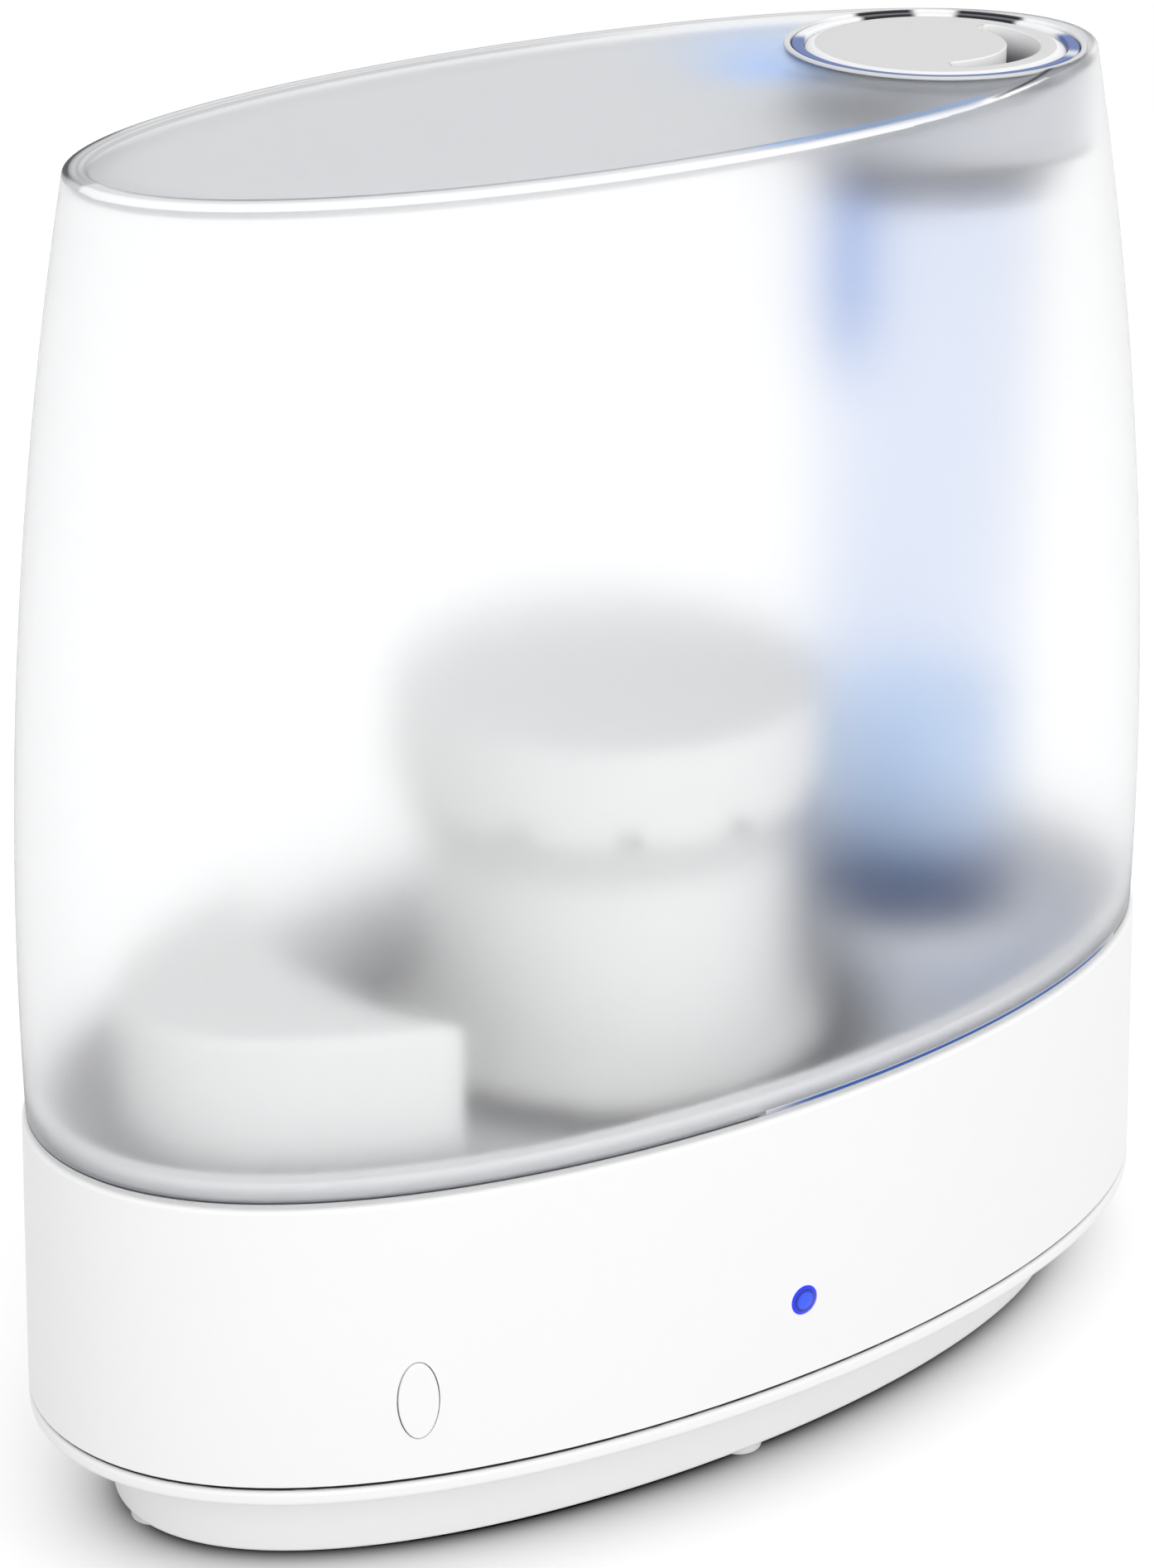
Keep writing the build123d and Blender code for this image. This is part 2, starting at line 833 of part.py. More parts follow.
with BuildPart() as transducer_clamp:
    clamp_top = boss_bottom - face_gap
    extrude(
        ring(mist_axis, boss_radius, disc_window_radius, clamp_top - clamp_thickness),
        amount=clamp_thickness,
    )
    extrude(
        ring(mist_axis, disc_radius + seal_side - bond_gap, disc_window_radius, clamp_top),
        amount=seal_bottom - face_gap - clamp_top,
    )
    with BuildSketch(Plane.XY.offset(clamp_top - clamp_thickness)):
        with Locations(mist_axis):
            with PolarLocations(clamp_screw_ring, clamp_screw_count):
                Circle(clamp_screw_radius + face_gap)
    extrude(amount=clamp_thickness, mode=Mode.SUBTRACT)

with BuildPart() as transducer_screws:
    clamp_underside = clamp_top - clamp_thickness
    with BuildSketch(Plane.XY.offset(clamp_underside)):
        with Locations(mist_axis):
            with PolarLocations(clamp_screw_ring, clamp_screw_count):
                Circle(clamp_screw_radius)
    extrude(amount=clamp_thickness + clamp_screw_length - seat_gap)
    with BuildSketch(Plane.XY.offset(clamp_underside - clamp_screw_head_height)):
        with Locations(mist_axis):
            with PolarLocations(clamp_screw_ring, clamp_screw_count):
                Circle(clamp_screw_head_radius)
    extrude(amount=clamp_screw_head_height)

with BuildPart() as glow_board:
    extrude(
        ring(
            mist_axis,
            boss_radius + glow_board_inner_gap + glow_board_width,
            boss_radius + glow_board_inner_gap,
            glow_board_bottom,
        ),
        amount=board_thickness,
    )
    with BuildSketch(Plane.XY.offset(glow_board_bottom)):
        with Locations(mist_axis):
            with PolarLocations(glow_radius, glow_peg_count):
                Circle(glow_peg_radius + face_gap)
    extrude(amount=board_thickness, mode=Mode.SUBTRACT)
    with BuildSketch(Plane.XY.offset(glow_board_top)):
        with Locations(mist_axis):
            with PolarLocations(glow_radius, glow_led_count, start_angle=180 / glow_led_count):
                Rectangle(glow_led_size, glow_led_size)
    extrude(amount=glow_led_height)

# Supply and driver
with BuildPart() as power_board:
    extrude(
        block(center_axis, power_board_length, power_board_width, power_board_height),
        amount=board_thickness,
    )
    power_board_top = power_board_height + board_thickness
    capacitor_x = (power_board_length - capacitor_radius * 3) / 2
    for y in (-1, 1):
        point = (capacitor_x, y * capacitor_radius * 1.5)
        extrude(disc(point, capacitor_radius, power_board_top), amount=capacitor_height)

with BuildPart() as transformer_coil:
    extrude(block(center_axis, coil_length, coil_width, power_board_top), amount=coil_height)
    fillet(transformer_coil.edges().filter_by(Axis.Z), core_yoke / 2)
    extrude(
        block(center_axis, coil_length, core_width + 2 * face_gap, power_board_top + core_yoke),
        amount=coil_height - 2 * core_yoke,
        mode=Mode.SUBTRACT,
    )

with BuildPart() as transformer_core:
    core_bottom = power_board_top + core_yoke + face_gap
    core_height = coil_height - 2 * core_yoke - 2 * face_gap
    extrude(block(center_axis, core_length, core_width, core_bottom), amount=core_height)
    yoke_offset = (core_length - core_yoke) / 2
    for x in (-1, 1):
        extrude(
            block((x * yoke_offset, 0), core_yoke, core_width, power_board_top),
            amount=coil_height,
        )

with BuildPart() as driver_board:
    extrude(
        block(mist_axis, driver_board_length, driver_board_width, driver_board_height),
        amount=board_thickness,
    )

with BuildPart() as heat_sink:
    sink_bottom = driver_board_height + board_thickness
    extrude(block(mist_axis, sink_length, sink_width, sink_bottom), amount=sink_base)
    fin_pitch = (sink_length - sink_fin_thickness) / (sink_fin_count - 1)
    with BuildSketch(Plane.XY.offset(sink_bottom + sink_base)):
        with Locations(mist_axis):
            with GridLocations(fin_pitch, 0, sink_fin_count, 1):
                Rectangle(sink_fin_thickness, sink_width)
    extrude(amount=sink_fin_height)

# Button, its board and its switch
with BuildPart() as power_button:
    button_inner = housing_wall + seat_gap
    with BuildSketch(button_plane.offset(button_proud)):
        Ellipse(button_width / 2, button_length / 2)
    extrude(amount=-button_proud - button_inner)
    press_axis = Axis(button_plane.origin, button_plane.z_dir)
    fillet(power_button.faces().sort_by(press_axis)[-1].edges(), button_edge_radius)
    with BuildSketch(button_plane.offset(-button_inner)):
        Ellipse(button_width / 2 + button_flange, button_length / 2 + button_flange)
    extrude(amount=-button_flange_thickness)
    with BuildSketch(button_plane.offset(-button_inner - button_flange_thickness)):
        Circle(button_stem_radius)
    extrude(amount=-button_stem_length)

with BuildPart() as button_board:
    with BuildSketch(button_board_plane.offset(-button_board_depth)):
        with Locations((0, rim_top - button_height + front_board_height / 2)):
            Rectangle(front_board_width, front_board_height)
    extrude(amount=-board_thickness)

with BuildPart() as button_switch:
    with BuildSketch(button_board_plane.offset(-button_board_depth)):
        Rectangle(switch_size, switch_size)
    extrude(amount=switch_height)
    with BuildSketch(button_board_plane.offset(-button_board_depth + switch_height)):
        Circle(plunger_radius)
    extrude(amount=plunger_height)

# Lamp, its light and its board
with BuildPart() as status_lamp:
    dome_plane = Plane(origin=lamp_plane.origin, x_dir=lamp_plane.x_dir, z_dir=-lamp_plane.y_dir)
    with BuildSketch(dome_plane):
        with BuildLine():
            Polyline(
                (lamp_radius, 0),
                (lamp_radius, -lamp_inner),
                (lamp_radius + lamp_flange, -lamp_inner),
                (lamp_radius + lamp_flange, -lamp_back),
                (0, -lamp_back),
                (0, lamp_dome),
            )
            SagittaArc((0, lamp_dome), (lamp_radius, 0), lamp_dome / 4)
        make_face()
    revolve(axis=Axis(lamp_plane.origin, lamp_plane.z_dir))

with BuildPart() as lamp_led:
    with BuildSketch(lamp_plane.offset(-lamp_board_depth)):
        Circle(led_radius)
    extrude(amount=led_length)
    fillet(lamp_led.faces().sort_by(Axis.Y)[0].edges(), led_radius / 2)

with BuildPart() as lamp_board:
    with BuildSketch(lamp_plane.offset(-lamp_board_depth)):
        with Locations((0, rim_top - lamp_height + front_board_height / 2)):
            Rectangle(front_board_width, front_board_height)
    extrude(amount=-board_thickness)

# Lead inlet
with BuildPart() as cord_gland:
    with BuildSketch(gland_plane):
        Circle(gland_radius)
    extrude(amount=-gland_length)
    with BuildSketch(gland_plane.offset(-gland_inner)):
        Circle(gland_radius + gland_flange)
    extrude(amount=-gland_flange_thickness)
    with BuildSketch(gland_plane):
        Circle(cord_bore_radius)
    extrude(amount=-gland_length, mode=Mode.SUBTRACT)

# Float and its switch
with BuildPart() as float_body:
    extrude(ring(float_axis, float_radius, guide_radius + guide_gap, float_bottom), amount=float_height)
    extrude(
        ring(float_axis, magnet_radius + face_gap, guide_radius + guide_gap, float_bottom),
        amount=magnet_height + face_gap,
        mode=Mode.SUBTRACT,
    )

with BuildPart() as float_magnet:
    extrude(ring(float_axis, magnet_radius, guide_radius + guide_gap, float_bottom), amount=magnet_height)

with BuildPart() as float_retainer:
    extrude(
        ring(float_axis, retainer_radius, guide_radius + face_gap, guide_top - retainer_height),
        amount=retainer_height,
    )

with BuildPart() as reed_switch:
    reed_height = float_pocket_floor - float_pocket_wall - face_gap - reed_radius
    with BuildSketch(Plane.YZ.offset(float_x - reed_length / 2)):
        with Locations((float_y, reed_height)):
            Circle(reed_radius)
    extrude(amount=reed_length)

# Mist collar: tube that carries the mist and the glow up into the chimney
with BuildPart() as mist_collar:
    collar_bottom = chamber_floor + chamber_water_gap
    collar_bore = collar_radius - collar_wall
    flange_bottom = collar_ledge + face_gap
    extrude(ring(mist_axis, collar_radius, collar_bore, collar_bottom), amount=collar_top - collar_bottom)
    extrude(
        ring(mist_axis, collar_radius + collar_flange, collar_bore, flange_bottom),
        amount=collar_flange_thickness,
    )
    with Locations((nozzle_x, 0, deck_top - collar_window_drop + collar_window_height / 2)):
        with PolarLocations(collar_radius, collar_window_count):
            Box(collar_wall * 3, collar_window_width, collar_window_height, mode=Mode.SUBTRACT)

# Tank shell
with BuildPart() as tank_shell:
    lip_foot = overall_height - top_edge_radius
    loft(sections=tank_sections(0, lip_foot))
    loft(sections=edge_sections(tank_reach(lip_foot), overall_height, top_edge_radius))
    extrude(
        oval(tank_top_reach - top_lip_width, overall_height - top_recess),
        amount=top_recess,
        mode=Mode.SUBTRACT,
    )
    loft(sections=tank_sections(shell_wall, overall_height - top_thickness), mode=Mode.SUBTRACT)
    extrude(
        disc(mist_axis, well_cup_outer + bond_gap, well_cup_bottom),
        amount=overall_height - well_cup_bottom,
        mode=Mode.SUBTRACT,
    )

# Tank floor
floor_reach = basin_reach - basin_wall - floor_side_gap
lap_reach = tank_foot_reach - shell_wall - bond_gap
shoulder = basin_top + seat_gap
pocket_top = floor_top + pocket_height

with BuildPart() as tank_floor:
    extrude(oval(floor_reach, floor_bottom), amount=shoulder - floor_bottom)
    extrude(oval(lap_reach, shoulder), amount=tank_bottom + floor_lap - shoulder)
    extrude(
        oval(floor_reach - floor_wall, floor_top),
        amount=tank_bottom + floor_lap - floor_top,
        mode=Mode.SUBTRACT,
    )
    extrude(
        disc(mist_axis, boss_outer, floor_bottom),
        amount=floor_thickness + chimney_boss_height,
    )
    extrude(
        disc(mist_axis, chimney_radius + bond_gap, floor_bottom),
        amount=floor_thickness + chimney_boss_height,
        mode=Mode.SUBTRACT,
    )
    # Groove of the chimney's lower seal
    groove_height = floor_top + chimney_boss_height / 2
    with BuildSketch(Plane.XY.offset(groove_height - ring_seal_radius - face_gap)):
        with Locations(mist_axis):
            Circle(chimney_radius + bond_gap + 2 * ring_seal_radius + face_gap)
    extrude(amount=2 * (ring_seal_radius + face_gap), mode=Mode.SUBTRACT)
    # Pocket over the blower tower
    extrude(pocket_plan(pocket_reach, pocket_arc, floor_bottom), amount=pocket_top - floor_bottom)
    fillet(tank_floor.faces().sort_by(Axis.Z)[-1].edges(), pocket_edge_radius)
    extrude(
        pocket_plan(pocket_reach - pocket_wall, pocket_arc + pocket_wall, floor_bottom),
        amount=pocket_top - pocket_wall - floor_bottom,
        mode=Mode.SUBTRACT,
    )
    # Neck for the cap, with the notches that let its ears through
    extrude(disc(pot_axis, neck_radius, floor_bottom), amount=floor_thickness, mode=Mode.SUBTRACT)
    for turn in (0, 180):
        notch_angle = ear_angle + 2 * ear_side_gap
        with BuildSketch(radial_plane(pot_axis, turn + cap_turn - notch_angle / 2)):
            with Locations(((notch_radius + plug_radius) / 2, (floor_bottom + floor_top) / 2)):
                Rectangle(notch_radius - plug_radius, floor_thickness)
        revolve(axis=pot_line, revolution_arc=notch_angle, mode=Mode.SUBTRACT)

# Chimney and its seals
with BuildPart() as mist_chimney:
    chimney_top = well_cup_bottom - face_gap
    extrude(
        ring(mist_axis, chimney_radius, chimney_bore, floor_bottom),
        amount=chimney_top - floor_bottom,
    )

well_boss_bottom = well_cup_bottom - chimney_boss_height
upper_groove_height = well_cup_bottom - chimney_boss_height / 2

with BuildPart() as chimney_seals:
    for height in (groove_height, upper_groove_height):
        with BuildSketch(radial_plane(mist_axis, 0)):
            with Locations((chimney_radius + bond_gap + ring_seal_radius, height)):
                Circle(ring_seal_radius)
        revolve(axis=Axis((nozzle_x, 0, 0), (0, 0, 1)))

# Outlet well: cup in the tank top
with BuildPart() as outlet_well:
    extrude(disc(mist_axis, well_cup_outer, well_cup_bottom), amount=well_cup_top - well_cup_bottom)
    extrude(
        disc(mist_axis, well_cup_radius, well_cup_floor_top),
        amount=well_cup_depth,
        mode=Mode.SUBTRACT,
    )
    fillet(outlet_well.faces().sort_by(Axis.Z)[-1].edges(), well_cup_edge_radius)
    extrude(
        disc(mist_axis, boss_outer, well_boss_bottom),
        amount=chimney_boss_height,
    )
    extrude(
        disc(mist_axis, chimney_radius + bond_gap, well_boss_bottom),
        amount=chimney_boss_height,
        mode=Mode.SUBTRACT,
    )
    with BuildSketch(Plane.XY.offset(upper_groove_height - ring_seal_radius - face_gap)):
        with Locations(mist_axis):
            Circle(chimney_radius + bond_gap + 2 * ring_seal_radius + face_gap)
    extrude(amount=2 * (ring_seal_radius + face_gap), mode=Mode.SUBTRACT)
    extrude(disc(mist_axis, chimney_bore, well_cup_bottom), amount=well_cup_floor, mode=Mode.SUBTRACT)

# Nozzle: cup that stands in the well and cap that turns on it
nozzle_top = overall_height - nozzle_top_drop
nozzle_plate_bottom = nozzle_top - nozzle_plate
cup_bottom = well_cup_floor_top + seat_gap
cup_radius = nozzle_radius - nozzle_skirt_wall - nozzle_skirt_gap
spigot_radius = chimney_bore - spigot_gap
spigot_bore = spigot_radius - spigot_wall

with BuildPart() as nozzle_cup:
    extrude(disc(mist_axis, well_cup_radius - cup_side_gap, cup_bottom), amount=cup_base)
    extrude(disc(mist_axis, cup_radius, cup_bottom), amount=nozzle_plate_bottom - seat_gap - cup_bottom)
    extrude(
        disc(mist_axis, cup_radius - cup_wall, cup_bottom + cup_base),
        amount=nozzle_plate_bottom - cup_bottom,
        mode=Mode.SUBTRACT,
    )
    extrude(disc(mist_axis, spigot_radius, cup_bottom - spigot_length), amount=spigot_length)
    extrude(
        disc(mist_axis, spigot_bore, cup_bottom - spigot_length),
        amount=spigot_length + cup_base,
        mode=Mode.SUBTRACT,
    )

with BuildPart() as nozzle_cap:
    skirt_foot = cup_bottom + cup_base + nozzle_skirt_lift
    extrude(disc(mist_axis, nozzle_radius, skirt_foot), amount=nozzle_top - skirt_foot)
    chamfer(
        nozzle_cap.faces().sort_by(Axis.Z)[-1].edges(),
        length=nozzle_bevel_height,
        length2=nozzle_bevel_width,
        reference=nozzle_cap.faces().filter_by(GeomType.CYLINDER)[0],
    )
    extrude(
        disc(mist_axis, nozzle_radius - nozzle_skirt_wall, skirt_foot),
        amount=nozzle_plate_bottom - skirt_foot,
        mode=Mode.SUBTRACT,
    )
    # Crescent outlet beside an off-centre disc
    toward = radians(crescent_angle)
    spread = radians(crescent_half_span)
    far = 2 * crescent_outer_radius
    with BuildSketch(Plane.XY.offset(nozzle_plate_bottom)) as crescent:
        with Locations(mist_axis):
            Circle(crescent_outer_radius)
        with Locations((nozzle_x - crescent_offset * cos(toward), -crescent_offset * sin(toward))):
            Circle(crescent_disc_radius, mode=Mode.SUBTRACT)
        with BuildLine():
            Polyline(
                mist_axis,
                (nozzle_x + far * cos(toward - spread), far * sin(toward - spread)),
                (nozzle_x + 2 * far * cos(toward), 2 * far * sin(toward)),
                (nozzle_x + far * cos(toward + spread), far * sin(toward + spread)),
                close=True,
            )
        make_face(mode=Mode.INTERSECT)
        fillet(crescent.vertices(), crescent_tip_radius)
    extrude(amount=nozzle_plate, mode=Mode.SUBTRACT)

# Tank cap
with BuildPart() as tank_cap:
    extrude(disc(pot_axis, cap_radius, cap_bottom), amount=cap_plate)
    extrude(disc(pot_axis, plug_radius, cap_bottom), amount=floor_top - cap_bottom)
    extrude(
        ring(
            pot_axis,
            plug_radius - cap_ring_width,
            valve_chamber_radius + valve_chamber_wall,
            cap_top,
        ),
        amount=floor_top - cap_top,
        mode=Mode.SUBTRACT,
    )
    extrude(
        disc(pot_axis, valve_chamber_radius, cap_top),
        amount=floor_top - cap_top,
        mode=Mode.SUBTRACT,
    )
    extrude(disc(pot_axis, valve_port_radius, cap_bottom), amount=cap_plate, mode=Mode.SUBTRACT)
    # Ears that lock over the floor
    ear_bottom = floor_top + seat_gap
    for turn in (0, 180):
        with BuildSketch(radial_plane(pot_axis, turn - ear_angle / 2)):
            with BuildLine():
                Polyline(
                    (plug_radius - ear_root, cap_top),
                    (plug_radius, cap_top),
                    (plug_radius, ear_bottom),
                    (ear_radius, ear_bottom),
                    (ear_radius, ear_bottom + ear_thickness),
                    (plug_radius - ear_root, ear_bottom + ear_thickness),
                    close=True,
                )
            make_face()
        revolve(axis=pot_line, revolution_arc=ear_angle)
    # Finger grips under the plate
    grip_middle = (grip_inner + grip_outer) / 2
    for x in (-1, 1):
        extrude(
            block(
                (pot_x + x * grip_middle, 0),
                grip_outer - grip_inner,
                grip_width,
                cap_bottom - grip_height,
            ),
            amount=grip_height,
        )

with BuildPart() as cap_seal:
    extrude(
        ring(pot_axis, cap_seal_inner + cap_seal_width, cap_seal_inner, cap_top),
        amount=cap_seal_thickness,
    )

# Filter cartridge
neck_outer = head_radius - pot_wall - head_neck_gap
taper_bottom = floor_top + pot_straight

with BuildPart() as cartridge_body:
    with BuildSketch(radial_plane(pot_axis, 0)):
        with BuildLine():
            Polyline(
                (0, pot_bottom),
                (pot_radius, pot_bottom),
                (pot_radius, taper_bottom),
                (head_radius, pot_shoulder),
                (neck_outer, pot_shoulder),
                (neck_outer, pot_shoulder + head_neck_height),
                (neck_outer - pot_wall, pot_shoulder + head_neck_height),
                (neck_outer - pot_wall, pot_shoulder),
                (pot_radius - pot_wall, taper_bottom),
                (pot_radius - pot_wall, pot_bottom + pot_wall),
                (0, pot_bottom + pot_wall),
                close=True,
            )
        make_face()
    revolve(axis=pot_line)
    # Valve chamber over the cap's port
    extrude(
        disc(pot_axis, valve_chamber_radius + valve_chamber_wall, pot_bottom),
        amount=valve_chamber_height + valve_chamber_wall,
    )
    extrude(
        disc(pot_axis, valve_chamber_radius, pot_bottom),
        amount=valve_chamber_height,
        mode=Mode.SUBTRACT,
    )
    extrude(
        disc(pot_axis, stem_radius + stem_guide_gap, chamber_roof),
        amount=valve_chamber_wall,
        mode=Mode.SUBTRACT,
    )
    window_height = pot_bottom + pot_wall + 2 * valve_window_radius
    for i in range(valve_window_count):
        window_plane = radial_plane(pot_axis, 360 * i / valve_window_count)
        with BuildSketch(window_plane.offset(valve_chamber_radius - pot_wall)):
            with Locations((0, window_height)):
                Circle(valve_window_radius)
        extrude(amount=valve_chamber_wall + 2 * pot_wall, mode=Mode.SUBTRACT)

with BuildPart() as cartridge_head:
    head_bottom = pot_shoulder + face_gap
    extrude(disc(pot_axis, head_radius, head_bottom), amount=head_height)
    fillet(cartridge_head.faces().sort_by(Axis.Z)[-1].edges(), head_edge_radius)
    extrude(
        disc(pot_axis, head_radius - pot_wall, head_bottom),
        amount=head_height - head_top,
        mode=Mode.SUBTRACT,
    )
    with Locations((pot_x, 0, head_bottom + head_slot_height / 2)):
        with PolarLocations(head_radius, head_slot_count):
            Box(pot_wall * 3, head_slot_width, head_slot_height, mode=Mode.SUBTRACT)

with BuildPart() as filter_granules:
    granule_bottom = pot_bottom + pot_wall + face_gap
    extrude(
        ring(
            pot_axis,
            pot_radius - pot_wall - bond_gap,
            valve_chamber_radius + valve_chamber_wall + bond_gap,
            granule_bottom,
        ),
        amount=taper_bottom - granule_room - granule_bottom,
    )

# Valve, held open by the basin's pin
valve_bottom = valve_seat + valve_lift
valve_disc_bottom = valve_bottom + valve_seal_thickness
valve_disc_top = valve_disc_bottom + valve_disc_thickness
stem_bottom = pin_top + seat_gap

with BuildPart() as valve_stem:
    extrude(
        disc(pot_axis, stem_radius, stem_bottom),
        amount=chamber_roof + valve_chamber_wall + stem_tail - stem_bottom,
    )
    extrude(disc(pot_axis, valve_disc_radius, valve_disc_bottom), amount=valve_disc_thickness)

with BuildPart() as valve_seal:
    extrude(
        ring(pot_axis, valve_disc_radius, valve_disc_radius - valve_seal_width, valve_bottom),
        amount=valve_seal_thickness,
    )

with BuildPart() as valve_spring:
    spring_bottom = valve_disc_top + face_gap + spring_wire_radius
    spring_top = chamber_roof - face_gap - spring_wire_radius
    with BuildLine() as spring_path:
        Helix(
            pitch=(spring_top - spring_bottom) / spring_turns,
            height=spring_top - spring_bottom,
            radius=spring_radius,
            center=(pot_x, 0, spring_bottom),
        )
    with BuildSketch(Plane(origin=spring_path.line @ 0, z_dir=spring_path.line % 0)):
        Circle(spring_wire_radius)
    sweep(path=spring_path.line)

pieces = {
    "base_housing": base_housing,
    "bottom_cover": bottom_cover,
    "rubber_feet": rubber_feet,
    "cover_screws": cover_screws,
    "water_basin": water_basin,
    "fan_housing": fan_housing,
    "fan_motor": fan_motor,
    "fan_shaft": fan_shaft,
    "fan_impeller": fan_impeller,
    "transducer_disc": transducer_disc,
    "transducer_seal": transducer_seal,
    "transducer_clamp": transducer_clamp,
    "transducer_screws": transducer_screws,
    "glow_board": glow_board,
    "power_board": power_board,
    "transformer_coil": transformer_coil,
    "transformer_core": transformer_core,
    "driver_board": driver_board,
    "heat_sink": heat_sink,
    "power_button": power_button,
    "button_board": button_board,
    "button_switch": button_switch,
    "status_lamp": status_lamp,
    "lamp_led": lamp_led,
    "lamp_board": lamp_board,
    "cord_gland": cord_gland,
    "float_body": float_body,
    "float_magnet": float_magnet,
    "float_retainer": float_retainer,
    "reed_switch": reed_switch,
    "mist_collar": mist_collar,
    "tank_shell": tank_shell,
    "tank_floor": tank_floor,
    "mist_chimney": mist_chimney,
    "chimney_seals": chimney_seals,
    "outlet_well": outlet_well,
    "nozzle_cup": nozzle_cup,
    "nozzle_cap": nozzle_cap,
    "tank_cap": tank_cap,
    "cap_seal": cap_seal,
    "cartridge_body": cartridge_body,
    "cartridge_head": cartridge_head,
    "filter_granules": filter_granules,
    "valve_stem": valve_stem,
    "valve_seal": valve_seal,
    "valve_spring": valve_spring,
}

for name, piece in pieces.items():
    piece.part.label = name
    export_step(piece.part, f"parts/{name}.step")
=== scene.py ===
"""Looks of the oval cool mist humidifier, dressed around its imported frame.

Every length is in metres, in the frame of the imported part: +Z is up, +X points along the
oval to the nozzle end, and -Y is the front with the button and the lamp. All the ovals of
the body are parallel curves of one core ellipse, and a reach is the distance that such a
curve stands outside it.
"""

import json
import logging
import math
from collections.abc import Callable
from dataclasses import dataclass, field
from enum import Enum

import bpy
import numpy as np
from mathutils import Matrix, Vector

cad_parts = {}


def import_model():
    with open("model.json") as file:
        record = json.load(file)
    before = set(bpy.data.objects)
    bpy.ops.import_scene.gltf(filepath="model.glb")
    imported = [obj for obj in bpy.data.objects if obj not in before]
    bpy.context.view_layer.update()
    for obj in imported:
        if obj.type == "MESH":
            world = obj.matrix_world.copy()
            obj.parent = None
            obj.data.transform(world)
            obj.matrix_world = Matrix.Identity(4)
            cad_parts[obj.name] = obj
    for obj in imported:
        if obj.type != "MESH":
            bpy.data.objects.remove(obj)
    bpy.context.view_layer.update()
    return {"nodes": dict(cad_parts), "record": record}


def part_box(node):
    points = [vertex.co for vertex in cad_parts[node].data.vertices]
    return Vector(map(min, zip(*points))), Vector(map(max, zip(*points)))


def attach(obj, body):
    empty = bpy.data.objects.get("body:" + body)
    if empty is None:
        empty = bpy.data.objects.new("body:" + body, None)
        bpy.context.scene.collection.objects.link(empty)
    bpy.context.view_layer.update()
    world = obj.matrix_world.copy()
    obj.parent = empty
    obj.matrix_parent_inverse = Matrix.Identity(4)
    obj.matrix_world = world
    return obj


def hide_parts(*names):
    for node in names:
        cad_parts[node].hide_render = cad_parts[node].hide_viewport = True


LOG = logging.getLogger("humidifier")
MM = 0.001
Colour = tuple[float, float, float]
Point = tuple[float, float, float]
Pair = tuple[float, float]
BLACK: Colour = (0.0, 0.0, 0.0)
WHITE: Colour = (1.0, 1.0, 1.0)
TUBE_COLUMNS = 160
RING_COLUMNS = 192
BEVEL_SEGMENTS = 3
SAME_POINT = 1e-7
PLATE_MARGIN = 0.02 * MM
# Turns of the dark painted reflections at the back of the well's rim and of the sleeve.
BACK_SHADES: tuple[Pair, ...] = ((15.0, 39.0), (62.0, 82.0))
BACK_SOFT = 3.0


class Slot(Enum):
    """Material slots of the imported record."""

    TANK = "tank_frosted"
    CLEAR = "clear_plastic"
    NOZZLE = "nozzle_white"


# Shader maths


def operator(operation: str, reflected: bool = False) -> Callable[["Signal", object], "Signal"]:
    """Method for a Python operator, which adds one Math node.

    Args:
        operation: Blender's name of the operation.
        reflected: whether the other value stands on the operator's left.

    Returns:
        The method.
    """

    def method(self: "Signal", other: object) -> "Signal":
        """Result of the operation on this signal and another signal or a number."""
        sides = {0: other, 1: self} if reflected else {0: self, 1: other}
        return Signal(self.pad, self.pad.node("ShaderNodeMath", {"operation": operation}, sides).outputs[0])

    return method


class Signal:
    """A number in a node tree. Python operators on it add Math nodes."""

    __add__, __radd__ = operator("ADD"), operator("ADD", True)
    __sub__, __rsub__ = operator("SUBTRACT"), operator("SUBTRACT", True)
    __mul__, __rmul__ = operator("MULTIPLY"), operator("MULTIPLY", True)
    __truediv__, __rtruediv__ = operator("DIVIDE"), operator("DIVIDE", True)
    __pow__, __rpow__ = operator("POWER"), operator("POWER", True)

    def __init__(self, pad: "NodePad", socket: bpy.types.NodeSocket) -> None:
        """Keep the tree and the output socket that carries the number."""
        self.pad = pad
        self.socket = socket

    def step(self, start: float, end: float, low: float = 0.0, high: float = 1.0) -> "Signal":
        """Smooth step between two values of this signal.

        Args:
            start: value at which the step begins.
            end: value at which it is done. It may lie below start.
            low: result before the step.
            high: result after the step.

        Returns:
            The stepped value as a Signal.
        """
        turned = start > end
        values = {
            "Value": self,
            "From Min": min(start, end),
            "From Max": max(start, end),
            "To Min": high if turned else low,
            "To Max": low if turned else high,
        }
        node = self.pad.node("ShaderNodeMapRange", {"interpolation_type": "SMOOTHSTEP"}, values)
        return Signal(self.pad, node.outputs["Result"])


